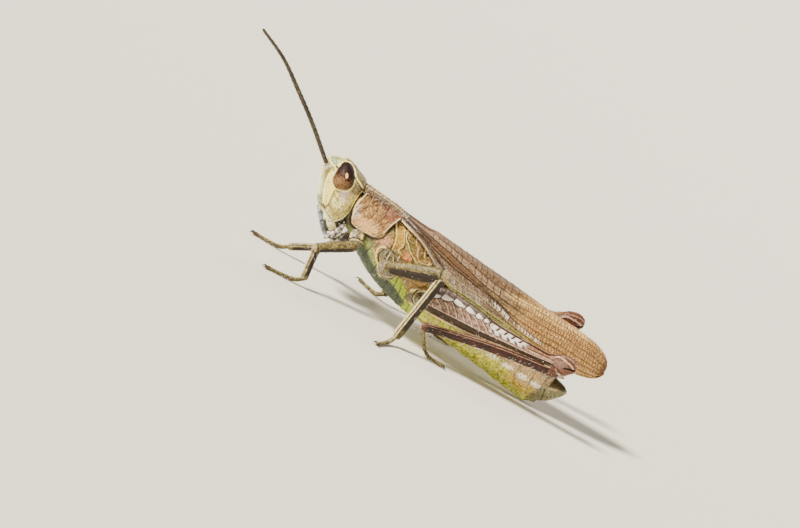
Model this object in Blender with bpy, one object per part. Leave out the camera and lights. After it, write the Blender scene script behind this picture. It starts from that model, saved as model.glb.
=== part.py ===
# A male field grasshopper (Gomphocerinae) at life size, as a still museum model.
#
# The insect is modelled in its own body frame, in millimetres: x runs tailward from the
# joint of head and pronotum, y is to the insect's right and z is dorsal. An empty then
# pitches the whole body head-up and sets the feet on z = 0. In the finished model the
# head points to -X, the insect's left side faces -Y and +Z is up.

import math

import bpy
import bmesh
import numpy as np
from mathutils import Matrix, Vector

# --- driving dimensions, millimetres and degrees ------------------------------------------

MM = 0.001
OBJECT_NAME = "grasshopper"

BODY_PITCH = 6.0          # head-up tilt of the body's long axis
FLOOR_DEPTH = 6.80        # from the body axis at x = 0 down to the floor, along body z
GAP = 0.05                # clear space cut between neighbouring pieces
THIN = 0.26               # least radius of a leg or feeler tube, so none is under 0.5 thick

HEAD_WIDTH = 2.30
EYE_HEIGHT = 1.58
EYE_LENGTH = 1.18
EYE_DEPTH = 1.16
EYE_LEAN = 22            # the tops of the eyes lean in towards the vertex
EYE_TILT = 18            # and forward, along the slant of the face
PRONOTUM_LENGTH = 3.15
PRONOTUM_WIDTH = 2.50
THORAX_WIDTH = 2.90
ABDOMEN_WIDTH = 2.30
TEGMEN_LENGTH = 14.9
TEGMEN_THICKNESS = 0.50
HIND_FEMUR_DEPTH = 1.90
HIND_FEMUR_THICKNESS = 1.05

RING_POINTS = 18          # points round a section of the body
LIMB_POINTS = 10          # points round a section of a leg

SIDES = (("left", -1), ("right", 1))

COLOURS = {
    "head": ((0.52, 0.47, 0.21), 0.50),
    "eye": ((0.12, 0.04, 0.02), 0.12),
    "antenna": ((0.16, 0.09, 0.06), 0.55),
    "mouth": ((0.55, 0.53, 0.45), 0.50),
    "pronotum": ((0.38, 0.20, 0.11), 0.60),
    "thorax": ((0.42, 0.31, 0.13), 0.55),
    "abdomen": ((0.47, 0.50, 0.10), 0.45),
    "tegmen": ((0.31, 0.16, 0.09), 0.60),
    "leg": ((0.33, 0.27, 0.15), 0.50),
    "femur": ((0.40, 0.25, 0.19), 0.40),
    "shin": ((0.25, 0.10, 0.06), 0.45),
}


# --- scene and materials ------------------------------------------------------------------

def clear_scene():
    for thing in list(bpy.data.objects):
        bpy.data.objects.remove(thing, do_unlink=True)


def new_collection(name):
    collection = bpy.data.collections.new(name)
    bpy.context.scene.collection.children.link(collection)
    return collection


def make_material(name, colour, roughness):
    material = bpy.data.materials.new(name)
    material.use_nodes = True
    shader = material.node_tree.nodes["Principled BSDF"]
    shader.inputs["Base Color"].default_value = (*colour, 1.0)
    shader.inputs["Roughness"].default_value = roughness
    shader.inputs["Metallic"].default_value = 0.0
    return material


class Model:
    """The collections, the root empty and the materials that every piece shares."""

    def __init__(self):
        self.parts = new_collection(OBJECT_NAME)
        self.cutters = new_collection("cutters")
        self.root = bpy.data.objects.new("body_axis", None)
        self.parts.objects.link(self.root)
        self.materials = {name: make_material(name, *look) for name, look in COLOURS.items()}
        self.pieces = {}
        self.forms = {}      # each piece as first shaped, before any cut

    def add(self, name, mesh, material):
        piece = bpy.data.objects.new(name, mesh)
        mesh.name = name
        mesh.materials.clear()
        mesh.materials.append(self.materials[material])
        self.parts.objects.link(piece)
        piece.parent = self.root
        mesh.shade_smooth()
        mesh.set_sharp_from_angle(angle=math.radians(50))
        self.pieces[name] = piece
        self.forms[name] = mesh.copy()

    def add_cutter(self, name, mesh):
        cutter = bpy.data.objects.new(name, mesh)
        self.cutters.objects.link(cutter)
        cutter.parent = self.root
        cutter.hide_render = True
        cutter.display_type = "WIRE"
        return cutter


# --- shape helpers ------------------------------------------------------------------------

def smooth_values(keys, rows, at):
    """Monotone cubic through the rows of values at the given keys."""
    keys = np.asarray(keys, float)
    rows = np.asarray(rows, float)
    steps = np.diff(keys)[:, None]
    slopes = np.diff(rows, axis=0) / steps
    same_way = slopes[1:] * slopes[:-1] > 0
    inner = np.where(same_way, 2 * slopes[1:] * slopes[:-1] / np.where(same_way, slopes[1:] + slopes[:-1], 1), 0)
    tangents = np.vstack([slopes[:1], inner, slopes[-1:]])
    i = int(np.clip(np.searchsorted(keys, at) - 1, 0, len(keys) - 2))
    step = keys[i + 1] - keys[i]
    t = (at - keys[i]) / step
    return ((2 * t**3 - 3 * t**2 + 1) * rows[i] + (t**3 - 2 * t**2 + t) * step * tangents[i]
            + (3 * t**2 - 2 * t**3) * rows[i + 1] + (t**3 - t**2) * step * tangents[i + 1])


def smooth_stations(stations, count):
    """Stations read again at count even places along their first value."""
    keys = [station[0] for station in stations]
    places = np.linspace(keys[0], keys[-1], count)
    return [smooth_values(keys, stations, place) for place in places]


def signed_power(value, exponent):
    return math.copysign(abs(value) ** exponent, value)


def loft(rings):
    """A closed mesh through rings of equally many points, with a flat cap at each end."""
    mesh = bpy.data.meshes.new("loft")
    shape = bmesh.new()
    loops = [[shape.verts.new(Vector(point) * MM) for point in ring] for ring in rings]
    count = len(loops[0])
    for first, second in zip(loops, loops[1:]):
        for i in range(count):
            j = (i + 1) % count
            shape.faces.new((first[i], first[j], second[j], second[i]))
    shape.faces.new(loops[0])
    shape.faces.new(loops[-1])
    bmesh.ops.recalc_face_normals(shape, faces=shape.faces)
    shape.to_mesh(mesh)
    shape.free()
    return mesh


def body_ring(x, half_width, top, middle, low, top_power, low_power, lean):
    """A section across the body: widest at middle, squarer where the power is higher."""
    ring = []
    for i in range(RING_POINTS):
        angle = math.tau * i / RING_POINTS
        across, up = math.cos(angle), math.sin(angle)
        power = top_power if up > 0 else low_power
        reach = top - middle if up > 0 else middle - low
        y = half_width * signed_power(across, 2 / power)
        z = middle + reach * signed_power(up, 2 / power)
        ring.append((x - lean * z, y, z))
    return ring


def level_ring(z, front, rear, half_width, widest, front_power, rear_power):
    """A section of the head, level with the body's axis: widest is an x between the ends."""
    ring = []
    for i in range(RING_POINTS):
        angle = math.tau * i / RING_POINTS
        across, along = math.sin(angle), math.cos(angle)
        power = rear_power if along > 0 else front_power
        reach = rear - widest if along > 0 else widest - front
        x = widest + reach * signed_power(along, 2 / power)
        y = half_width * signed_power(across, 2 / power)
        ring.append((x, y, z))
    return ring


def limb(start, end, up, stations, count, points=LIMB_POINTS):
    """A leg segment from start to end. Each station: share of length, height above and
    below the axis, half thickness, power."""
    start, end = Vector(start), Vector(end)
    axis = end - start
    up = (Vector(up) - Vector(up).project(axis)).normalized()
    side = axis.cross(up).normalized()
    rings = []
    for share, above, below, thick, power in smooth_stations(stations, count):
        centre = start + axis * share
        ring = []
        for i in range(points):
            angle = math.tau * i / points
            c, s = signed_power(math.cos(angle), 2 / power), signed_power(math.sin(angle), 2 / power)
            ring.append(centre + up * s * (above if s > 0 else below) + side * c * thick)
        rings.append(ring)
    return loft(rings)


def smooth_path(points, count):
    """Catmull-Rom curve through points, read at count places."""
    pts = [Vector(point) for point in points]
    pts = [2 * pts[0] - pts[1]] + pts + [2 * pts[-1] - pts[-2]]
    spans = len(pts) - 3
    path = []
    for i in range(count):
        place = spans * i / (count - 1)
        k = min(int(place), spans - 1)
        t = place - k
        a, b, c, d = pts[k:k + 4]
        path.append(0.5 * (2 * b + (c - a) * t + (2 * a - 5 * b + 4 * c - d) * t**2
                           + (3 * b - a - 3 * c + d) * t**3))
    return path


def tube(path, radius_at):
    """A round tube along a path; radius_at gives the radius for a share of its length."""
    curve = bpy.data.curves.new("tube", "CURVE")
    curve.dimensions = "3D"
    curve.bevel_depth = MM
    curve.bevel_resolution = 2
    curve.use_fill_caps = True
    spline = curve.splines.new("POLY")
    spline.points.add(len(path) - 1)
    for i, point in enumerate(path):
        spline.points[i].co = (*(point * MM), 1.0)
        spline.points[i].radius = radius_at(i / (len(path) - 1))
    holder = bpy.data.objects.new("tube", curve)
    bpy.context.scene.collection.objects.link(holder)
    mesh = bpy.data.meshes.new_from_object(holder.evaluated_get(bpy.context.evaluated_depsgraph_get()))
    bpy.data.objects.remove(holder)
    bpy.data.curves.remove(curve)
    shape = bmesh.new()
    shape.from_mesh(mesh)
    bmesh.ops.remove_doubles(shape, verts=shape.verts, dist=1e-7)
    bmesh.ops.recalc_face_normals(shape, faces=shape.faces)
    shape.to_mesh(mesh)
    shape.free()
    return mesh


def ellipsoid(centre, half_sizes, turn, segments=14, rings=9):
    mesh = bpy.data.meshes.new("ellipsoid")
    shape = bmesh.new()
    bmesh.ops.create_uvsphere(shape, u_segments=segments, v_segments=rings, radius=1.0)
    size = Matrix.Diagonal((*(Vector(half_sizes) * MM), 1.0))
    bmesh.ops.transform(shape, matrix=Matrix.Translation(Vector(centre) * MM) @ turn @ size, verts=shape.verts)
    shape.to_mesh(mesh)
    shape.free()
    return mesh


def mirrored(mesh):
    """A copy of the mesh on the other side of the body's middle plane."""
    copy = mesh.copy()
    shape = bmesh.new()
    shape.from_mesh(copy)
    bmesh.ops.scale(shape, vec=(1, -1, 1), verts=shape.verts)
    bmesh.ops.reverse_faces(shape, faces=shape.faces)
    shape.to_mesh(copy)
    shape.free()
    return copy


# --- cutting pieces clear of each other ---------------------------------------------------

def keep_largest_body(mesh):
    """Drops slivers that a cut left beside the main body."""
    shape = bmesh.new()
    shape.from_mesh(mesh)
    bodies = []
    left = set(shape.verts)
    while left:
        body, stack = set(), [left.pop()]
        while stack:
            vert = stack.pop()
            body.add(vert)
            for edge in vert.link_edges:
                other = edge.other_vert(vert)
                if other in left:
                    left.discard(other)
                    stack.append(other)
        bodies.append(body)
    bodies.sort(key=lambda body: -sum(face.calc_area() for vert in body for face in vert.link_faces))
    spare = [vert for body in bodies[1:] for vert in body]
    bmesh.ops.delete(shape, geom=spare, context="VERTS")
    bmesh.ops.dissolve_degenerate(shape, dist=2e-6, edges=shape.edges)
    shape.to_mesh(mesh)
    shape.free()


def is_closed(mesh):
    """Whether the mesh is a solid: it has faces, and each edge joins exactly two of them."""
    shape = bmesh.new()
    shape.from_mesh(mesh)
    closed = len(shape.faces) > 3 and all(len(edge.link_faces) == 2 for edge in shape.edges)
    shape.free()
    return closed


def subtract(model, piece, cutter_mesh, label):
    """Cuts with the exact solver, or with the manifold one where that leaves an open mesh."""
    cutter = model.add_cutter(f"{piece.name}_{label}", cutter_mesh)
    modifier = piece.modifiers.new("cut", "BOOLEAN")
    modifier.operation = "DIFFERENCE"
    modifier.object = cutter
    for solver in ("EXACT", "MANIFOLD"):
        modifier.solver = solver
        evaluated = piece.evaluated_get(bpy.context.evaluated_depsgraph_get())
        mesh = bpy.data.meshes.new_from_object(evaluated)
        keep_largest_body(mesh)
        if is_closed(mesh):
            break
    piece.modifiers.clear()
    mesh.name = piece.name
    piece.data = mesh


def carve(model, name, *neighbours, gap=GAP):
    """Cuts the named piece back from its neighbours' first forms, each grown by the gap."""
    piece = model.pieces[name]
    for neighbour in neighbours:
        grown = model.forms[neighbour].copy()
        shape = bmesh.new()
        shape.from_mesh(grown)
        shape.normal_update()
        moves = [(vert, vert.normal * gap * MM) for vert in shape.verts]
        for vert, move in moves:
            vert.co += move
        shape.to_mesh(grown)
        shape.free()
        subtract(model, piece, grown, f"clear_of_{neighbour}")


def floor_point(x, y, lift):
    """The body-frame point above (x, y) that stands lift millimetres clear of the floor."""
    pitch = math.radians(BODY_PITCH)
    return Vector((x, y, -FLOOR_DEPTH + x * math.tan(pitch) + lift / math.cos(pitch)))


def cut_at_floor(model, name):
    """Takes off what reaches below the floor, which leaves a small flat."""
    shape = bmesh.new()
    bmesh.ops.create_cube(shape, size=1.0)
    centre = floor_point(7.0, 0, -2.0) * MM
    turn = Matrix.Rotation(math.radians(-BODY_PITCH), 4, "Y")
    size = Matrix.Diagonal((60 * MM, 40 * MM, 4 * MM, 1.0))
    bmesh.ops.transform(shape, matrix=Matrix.Translation(centre) @ turn @ size, verts=shape.verts)
    mesh = bpy.data.meshes.new("floor")
    shape.to_mesh(mesh)
    shape.free()
    subtract(model, model.pieces[name], mesh, "floor")


# --- head ---------------------------------------------------------------------------------

def make_head(model):
    half = HEAD_WIDTH / 2
    # z, front, rear, half width, widest x, front power, rear power
    stations = [
        (-3.02, -1.00, -0.16, 0.62 * half, -0.55, 2.2, 2.2),
        (-2.86, -1.30, -0.06, 0.80 * half, -0.60, 2.3, 2.4),
        (-2.40, -1.76, 0.02, 0.94 * half, -0.70, 2.3, 2.6),
        (-1.80, -2.10, 0.04, 1.00 * half, -0.75, 2.2, 2.8),
        (-1.20, -2.44, 0.04, 0.98 * half, -0.80, 2.0, 2.8),
        (-0.60, -2.66, 0.03, 0.90 * half, -0.90, 1.9, 2.8),
        (-0.20, -2.62, 0.01, 0.80 * half, -1.00, 1.9, 2.6),
        (0.05, -2.50, -0.04, 0.68 * half, -1.00, 2.0, 2.4),
        (0.24, -2.26, -0.32, 0.50 * half, -1.15, 2.0, 2.2),
        (0.36, -1.90, -0.75, 0.28 * half, -1.30, 2.0, 2.0),
    ]
    rings = [level_ring(*station) for station in smooth_stations(stations, 14)]
    model.add("head", loft(rings), "head")


def make_eyes(model):
    half_sizes = (EYE_LENGTH / 2, EYE_DEPTH / 2, EYE_HEIGHT / 2)
    for side, sign in SIDES:
        turn = Matrix.Rotation(math.radians(EYE_LEAN * sign), 4, "X") @ Matrix.Rotation(-math.radians(EYE_TILT), 4, "Y")
        mesh = ellipsoid((-1.54, sign * 0.80, -0.36), half_sizes, turn)
        model.add(f"eye_{side}", mesh, "eye")


def make_antennae(model):
    # The right antenna sweeps back a little further than the left one.
    routes = {
        "left": ((-2.36, -0.36, -0.52), (-2.90, -0.50, -0.21), (-4.80, -0.68, 1.10), (-6.67, -0.84, 2.23),
                 (-8.44, -0.95, 3.23), (-10.37, -1.03, 3.91)),
        "right": ((-2.30, 0.36, -0.56), (-2.71, 0.44, -0.41), (-4.52, 0.66, 0.81), (-6.32, 0.82, 1.87),
                  (-8.05, 0.95, 2.82), (-9.94, 1.05, 3.46)),
    }
    for side, route in routes.items():
        path = smooth_path(route, 13)
        model.add(f"antenna_{side}", tube(path, lambda share: THIN), "antenna")


def make_mouthparts(model):
    # the labrum hangs from the clypeus, a slightly bowed plate wider than it is thick
    labrum = [(0.0, 0.16, 0.20, 0.50, 2.6), (0.3, 0.24, 0.26, 0.66, 2.6), (0.7, 0.26, 0.24, 0.64, 2.5),
              (0.93, 0.22, 0.18, 0.46, 2.3), (1.0, 0.12, 0.10, 0.26, 2.0)]
    model.add("labrum", limb((-1.32, 0, -2.70), (0.0, 0, -3.90), (-0.7, 0, -0.7), labrum, 7), "mouth")
    # each mandible lies between the labrum and the cheek
    jaw = [(0.0, 0.26, 0.30, 0.26, 2.2), (0.4, 0.34, 0.36, 0.34, 2.3), (0.8, 0.30, 0.30, 0.32, 2.2),
           (1.0, 0.14, 0.14, 0.16, 2.0)]
    # the maxillae and labium close the mouth behind, on the middle line
    base = [(0.0, 0.30, 0.24, 0.52, 2.4), (0.5, 0.44, 0.28, 0.70, 2.4), (1.0, 0.22, 0.20, 0.46, 2.0)]
    model.add("labium", limb((0.10, 0, -2.70), (0.34, 0, -3.72), (-1, 0, -0.2), base, 5), "mouth")
    for side, sign in SIDES:
        mesh = limb((-0.95, sign * 0.62, -2.62), (-0.02, sign * 0.46, -3.52), (-0.7, 0, -0.7), jaw, 6)
        model.add(f"mandible_{side}", mesh, "mouth")
        palp = ((0.42, sign * 0.72, -3.02), (0.86, sign * 0.98, -3.34), (0.62, sign * 0.86, -3.86),
                (0.16, sign * 0.58, -4.20))
        model.add(f"palp_{side}", tube(smooth_path(palp, 9), lambda share: THIN * (1 - 0.1 * share)), "mouth")


# --- trunk --------------------------------------------------------------------------------

def make_pronotum(model):
    half = PRONOTUM_WIDTH / 2
    # x of the top, half width, top, widest z, low edge, powers above and below, lean
    stations = [
        (0.00, 0.84 * half, 0.00, -1.10, -1.78, 3.0, 3.0, 0.12),
        (0.16, 0.88 * half, 0.02, -1.15, -2.16, 3.1, 3.2, 0.14),
        (0.50, 0.91 * half, 0.03, -1.20, -2.46, 3.1, 3.4, 0.16),
        (1.10, 0.93 * half, 0.02, -1.20, -2.56, 3.2, 3.4, 0.14),
        (1.75, 0.95 * half, 0.02, -1.10, -2.38, 3.3, 3.2, 0.04),
        (2.35, 1.00 * half, 0.03, -1.00, -1.96, 3.3, 3.0, -0.12),
        (2.85, 0.98 * half, 0.02, -0.80, -1.34, 3.2, 2.6, -0.28),
        (PRONOTUM_LENGTH, 0.80 * half, -0.04, -0.42, -0.80, 3.0, 2.4, -0.42),
    ]
    rings = [body_ring(*station) for station in smooth_stations(stations, 12)]
    model.add("pronotum", loft(rings), "pronotum")


def make_thorax(model):
    half = THORAX_WIDTH / 2
    # x, half width, top, widest z, sternum, powers above and below, lean
    stations = [
        (0.10, 0.52 * half, -0.50, -1.50, -2.40, 2.2, 2.2, 0.0),
        (0.50, 0.60 * half, -0.50, -1.60, -2.80, 2.3, 2.3, 0.0),
        (1.20, 0.70 * half, -0.50, -1.70, -3.16, 2.4, 2.4, 0.0),
        (2.20, 0.90 * half, -0.40, -1.80, -3.78, 2.6, 2.6, 0.0),
        (3.20, 0.98 * half, -0.30, -2.00, -4.22, 2.7, 2.8, 0.0),
        (4.60, 1.00 * half, -0.25, -2.20, -4.60, 2.7, 2.9, 0.0),
        (6.00, 0.97 * half, -0.30, -2.40, -4.84, 2.6, 2.8, 0.0),
        (7.00, 0.90 * half, -0.50, -2.60, -4.92, 2.5, 2.6, 0.0),
    ]
    rings = [body_ring(*station) for station in smooth_stations(stations, 11)]
    model.add("thorax", loft(rings), "thorax")


def make_abdomen(model):
    half = ABDOMEN_WIDTH / 2
    stations = [
        (7.00, 1.10 * half, -0.60, -2.60, -4.88, 2.4, 2.5, 0.0),
        (8.40, 1.06 * half, -0.66, -2.80, -4.92, 2.3, 2.4, 0.0),
        (10.2, 1.00 * half, -0.90, -3.00, -5.00, 2.2, 2.3, 0.0),
        (12.2, 0.92 * half, -1.20, -3.15, -5.05, 2.2, 2.2, 0.0),
        (14.0, 0.82 * half, -1.55, -3.20, -5.07, 2.1, 2.1, 0.0),
        (15.1, 0.70 * half, -1.90, -3.20, -4.98, 2.1, 2.1, 0.0),
        (15.8, 0.50 * half, -2.50, -3.20, -4.62, 2.0, 2.0, 0.0),
    ]
    rings = [body_ring(*station) for station in smooth_stations(stations, 11)]
    model.add("abdomen", loft(rings), "abdomen")
    # the blunt, upturned last plate that marks the male
    plate = [(0.0, 0.78, 0.86, 0.62, 2.1), (0.4, 0.70, 0.72, 0.56, 2.1), (0.75, 0.48, 0.50, 0.42, 2.0),
             (0.94, 0.26, 0.27, 0.24, 2.0), (1.0, 0.12, 0.12, 0.12, 2.0)]
    model.add("genital_plate", limb((15.45, 0, -3.75), (16.78, 0, -3.36), (0, 0, 1), plate, 7), "abdomen")


def tegmen_ring(x, ridge, top, shoulder_y, shoulder_z, edge_y, edge_z, thickness):
    """A section of one fore wing: from the middle line over the shoulder to the low edge,
    then back along its inner face, which is the outer one drawn in towards the body."""
    corners = [Vector((x, -GAP, top)), Vector((x, -0.55 * shoulder_y, ridge)),
               Vector((x, -shoulder_y, shoulder_z)),
               Vector((x, -0.5 * (shoulder_y + edge_y) - 0.04, 0.5 * (shoulder_z + edge_z))),
               Vector((x, -edge_y, edge_z))]
    outer = smooth_path(corners, 8)
    narrower = 1 - thickness / edge_y
    lower = 1 - thickness / (top - edge_z)
    inner = [Vector((x, min(point.y * narrower, -GAP), edge_z + (point.z - edge_z) * lower)) for point in outer]
    return [tuple(point) for point in outer + inner[::-1]]


def make_tegmina(model):
    # x, ridge, top, shoulder y, shoulder z, edge y, edge z, thickness
    thick = TEGMEN_THICKNESS
    stations = [
        (2.78, 0.06, 0.08, 1.02, -0.10, 1.20, -0.66, thick),
        (4.00, 0.10, 0.16, 1.14, -0.30, 1.46, -0.98, thick),
        (6.00, 0.16, 0.26, 1.20, -0.48, 1.56, -1.62, thick),
        (8.50, 0.24, 0.38, 1.16, -0.74, 1.52, -2.10, thick),
        (11.0, 0.14, 0.28, 1.04, -0.88, 1.42, -2.22, thick),
        (13.5, 0.04, 0.16, 0.94, -0.92, 1.30, -2.16, thick),
        (15.6, 0.02, 0.12, 0.82, -0.86, 1.14, -1.98, thick),
        (16.7, -0.06, 0.04, 0.66, -0.84, 0.94, -1.76, thick),
        (17.4, -0.34, -0.26, 0.46, -0.88, 0.66, -1.46, 0.96 * thick),
        (2.78 + TEGMEN_LENGTH, -0.62, -0.60, 0.34, -0.94, 0.46, -1.22, 0.9 * thick),
    ]
    rings = [tegmen_ring(*station) for station in smooth_stations(stations, 14)]
    mesh = loft(rings)
    model.add("tegmen_left", mesh, "tegmen")
    model.add("tegmen_right", mirrored(mesh), "tegmen")


# --- legs ---------------------------------------------------------------------------------

# Joints of each leg in the body frame: coxa, hip, knee and ankle, then the places along the
# foot as x, y and the height over the floor. The y values are taken outwards on both sides.
LEGS = {
    ("fore", "left"): dict(coxa=(1.25, 0.80, -2.55), hip=(1.50, 1.45, -3.20), knee=(-0.33, 2.02, -4.42),
                           ankle=(0.10, 2.30, 0.52), foot=((-0.40, 2.36, 0.22), (-1.30, 2.50, 0.20),
                                                           (-2.05, 2.62, 0.20))),
    ("fore", "right"): dict(coxa=(1.25, 0.80, -2.55), hip=(1.56, 1.42, -3.22), knee=(1.00, 2.60, -5.14),
                            ankle=(-0.80, 2.62, 0.52), foot=((-1.30, 2.70, 0.22), (-2.10, 2.84, 0.20),
                                                             (-2.80, 2.96, 0.20))),
    ("mid", "left"): dict(coxa=(4.00, 0.80, -3.40), hip=(3.60, 1.92, -2.98), knee=(6.18, 3.20, -1.03),
                          ankle=(6.16, 3.66, 0.52), foot=((5.92, 4.10, 0.22), (5.50, 4.86, 0.20),
                                                          (5.14, 5.50, 0.20))),
    ("mid", "right"): dict(coxa=(4.00, 0.80, -3.40), hip=(3.60, 1.92, -2.98), knee=(5.92, 3.30, -1.20),
                           ankle=(5.66, 3.86, 0.52), foot=((5.36, 4.30, 0.22), (4.86, 5.02, 0.20),
                                                           (4.42, 5.62, 0.20))),
    ("hind", "left"): dict(coxa=(6.10, 0.95, -3.70), hip=(6.55, 2.00, -3.30), knee=(15.28, 2.70, -1.44),
                           ankle=(7.30, 2.42, 1.20), foot=((7.86, 2.48, 0.62), (8.70, 2.58, 0.20),
                                                           (9.80, 2.72, 0.20))),
    ("hind", "right"): dict(coxa=(6.10, 0.95, -3.70), hip=(6.55, 2.00, -3.24), knee=(15.18, 2.70, -0.13),
                            ankle=(8.05, 2.50, 1.20), foot=((8.60, 2.56, 0.62), (9.40, 2.66, 0.20),
                                                            (10.5, 2.80, 0.20))),
}


def outward(point, sign):
    return Vector((point[0], sign * point[1], point[2]))


def make_leg(model, pair, side, sign):
    joints = LEGS[pair, side]
    name = f"{pair}_{{}}_{side}".format
    coxa, hip, knee = (outward(joints[key], sign) for key in ("coxa", "hip", "knee"))
    ankle = floor_point(joints["ankle"][0], sign * joints["ankle"][1], joints["ankle"][2])
    foot = [floor_point(x, sign * y, lift) for x, y, lift in joints["foot"]]

    if pair == "hind":
        make_hind_femur(model, name("femur"), hip, knee)
        coxa_size, shin_radius = 0.62, 0.27
    else:
        femur = [(0.0, 0.16, 0.16, 0.16, 2.0), (0.07, 0.29, 0.29, 0.27, 2.1), (0.4, 0.31, 0.31, 0.28, 2.2),
                 (0.8, 0.27, 0.27, 0.26, 2.2), (0.94, 0.29, 0.28, 0.27, 2.0), (1.0, 0.12, 0.12, 0.12, 2.0)]
        along = (knee - hip).normalized()
        model.add(name("femur"), limb(hip - along * 0.1, knee + along * 0.26, (0, 0, 1), femur, 9), "leg")
        coxa_size, shin_radius = (0.46 if pair == "fore" else 0.66), THIN

    hip_block = [(0.0, 0.9, 0.9, 0.8, 2.2), (0.5, 1.0, 1.0, 0.85, 2.2), (0.85, 0.72, 0.72, 0.6, 2.0),
                 (1.0, 0.3, 0.3, 0.25, 2.0)]
    hip_block = [(share, above * coxa_size, below * coxa_size, thick * coxa_size, power)
                 for share, above, below, thick, power in hip_block]
    model.add(name("coxa"), limb(coxa, hip + (hip - coxa).normalized() * 0.15, (1, 0, 0), hip_block, 6), "thorax")

    run = (ankle - knee).normalized()
    shin = tube([knee.lerp(ankle, i / 5) for i in range(5)] + [ankle - run * 0.02], lambda share: shin_radius)
    model.add(name("tibia"), shin, "shin" if pair == "hind" else "leg")

    toe = tube(smooth_path([ankle + run * 0.06] + foot, 8), lambda share: THIN * (1.0 - 0.08 * share))
    model.add(name("tarsus"), toe, "leg")
    cut_at_floor(model, name("tarsus"))
    carve(model, name("coxa"), name("femur"))
    carve(model, name("tibia"), name("femur"))
    carve(model, name("tarsus"), name("tibia"))


def make_hind_femur(model, name, hip, knee):
    """The jumping leg's thick, club-shaped thigh with its swollen knee."""
    depth, thick = HIND_FEMUR_DEPTH / 2, HIND_FEMUR_THICKNESS / 2
    stations = [
        (0.00, 0.34 * depth, 0.30 * depth, 0.50 * thick, 2.0),
        (0.03, 0.72 * depth, 0.62 * depth, 0.74 * thick, 2.1),
        (0.09, 0.96 * depth, 0.86 * depth, 0.94 * thick, 2.3),
        (0.16, 1.00 * depth, 0.92 * depth, 1.00 * thick, 2.4),
        (0.35, 0.78 * depth, 0.76 * depth, 0.90 * thick, 2.4),
        (0.55, 0.56 * depth, 0.54 * depth, 0.72 * thick, 2.4),
        (0.75, 0.44 * depth, 0.40 * depth, 0.58 * thick, 2.3),
        (0.86, 0.42 * depth, 0.38 * depth, 0.56 * thick, 2.3),
        (0.93, 0.58 * depth, 0.56 * depth, 0.62 * thick, 2.1),
        (0.98, 0.46 * depth, 0.48 * depth, 0.54 * thick, 2.0),
        (1.00, 0.22 * depth, 0.24 * depth, 0.36 * thick, 2.0),
    ]
    along = (knee - hip).normalized()
    model.add(name, limb(hip - along * 0.2, knee + along * 0.48, (0, 0, 1), stations, 16, 12), "femur")


# --- assembly -----------------------------------------------------------------------------

def part_neighbours(model):
    """Cuts the pieces clear of each other, the softer or hidden one giving way."""
    for side, _ in SIDES:
        carve(model, "head", f"eye_{side}")
        carve(model, f"antenna_{side}", "head")
        carve(model, f"mandible_{side}", "head", "labrum")
    carve(model, "labrum", "head")
    carve(model, "labium", "head", "labrum", "mandible_left", "mandible_right")
    for side, _ in SIDES:
        carve(model, f"palp_{side}", "labium", "head")
    carve(model, "pronotum", "head")
    carve(model, "thorax", "pronotum", "head")
    for side, _ in SIDES:
        carve(model, f"tegmen_{side}", "pronotum")
    carve(model, "thorax", "tegmen_left", "tegmen_right")
    for side, _ in SIDES:
        for pair in ("fore", "mid", "hind"):
            carve(model, f"{pair}_coxa_{side}", "pronotum")
            carve(model, "thorax", f"{pair}_coxa_{side}", f"{pair}_femur_{side}")
    carve(model, "abdomen", "thorax", "tegmen_left", "tegmen_right", "hind_coxa_left", "hind_coxa_right",
          "hind_femur_left", "hind_femur_right")
    carve(model, "genital_plate", "abdomen")


def stand_on_floor(model):
    """Pitches the body, puts its lowest flats on z = 0 and centres its outline on the origin."""
    model.root.rotation_euler = (0, math.radians(BODY_PITCH), 0)
    bpy.context.view_layer.update()
    corners = np.array([piece.matrix_world @ vert.co
                        for piece in model.pieces.values() for vert in piece.data.vertices])
    low, high = corners.min(axis=0), corners.max(axis=0)
    model.root.location = (-(low[0] + high[0]) / 2, -(low[1] + high[1]) / 2, -low[2])
    bpy.context.view_layer.update()


def main():
    clear_scene()
    model = Model()
    make_head(model)
    make_eyes(model)
    make_antennae(model)
    make_mouthparts(model)
    make_pronotum(model)
    make_thorax(model)
    make_abdomen(model)
    make_tegmina(model)
    for pair in ("fore", "mid", "hind"):
        for side, sign in SIDES:
            make_leg(model, pair, side, sign)
    part_neighbours(model)
    stand_on_floor(model)


main()
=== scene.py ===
import math
from functools import reduce

import bpy
import numpy as np
from mathutils import Matrix, Vector


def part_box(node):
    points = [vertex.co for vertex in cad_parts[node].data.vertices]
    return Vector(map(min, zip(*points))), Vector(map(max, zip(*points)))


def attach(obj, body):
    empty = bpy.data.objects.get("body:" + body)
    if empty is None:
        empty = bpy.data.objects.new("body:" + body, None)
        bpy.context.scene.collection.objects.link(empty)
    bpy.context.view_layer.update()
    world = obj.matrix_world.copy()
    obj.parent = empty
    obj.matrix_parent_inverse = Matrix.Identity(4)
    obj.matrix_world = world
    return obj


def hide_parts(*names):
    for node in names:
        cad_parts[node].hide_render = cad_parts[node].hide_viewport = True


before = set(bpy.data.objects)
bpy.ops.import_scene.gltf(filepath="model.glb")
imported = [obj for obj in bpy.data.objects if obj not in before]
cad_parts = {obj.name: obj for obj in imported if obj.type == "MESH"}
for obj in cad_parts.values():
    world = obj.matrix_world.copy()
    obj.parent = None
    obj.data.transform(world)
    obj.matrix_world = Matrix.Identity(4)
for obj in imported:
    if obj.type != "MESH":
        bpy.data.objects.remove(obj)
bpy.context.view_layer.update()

# Everything is measured on the insect in millimetres: x runs tailwards from the front edge of
# the pronotum, y to the insect's right, z to its back. One turn and shift puts it on the floor.
bodyPlace = {
    "noseUp": 6.0,  # degrees that the body leans back on its legs
    "eyeCentre": (-1.54, 0.8, -0.36),
    "footLevel": -6.8,  # z of the floor under x = 0
}
leanTurn = math.radians(bodyPlace["noseUp"])


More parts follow.
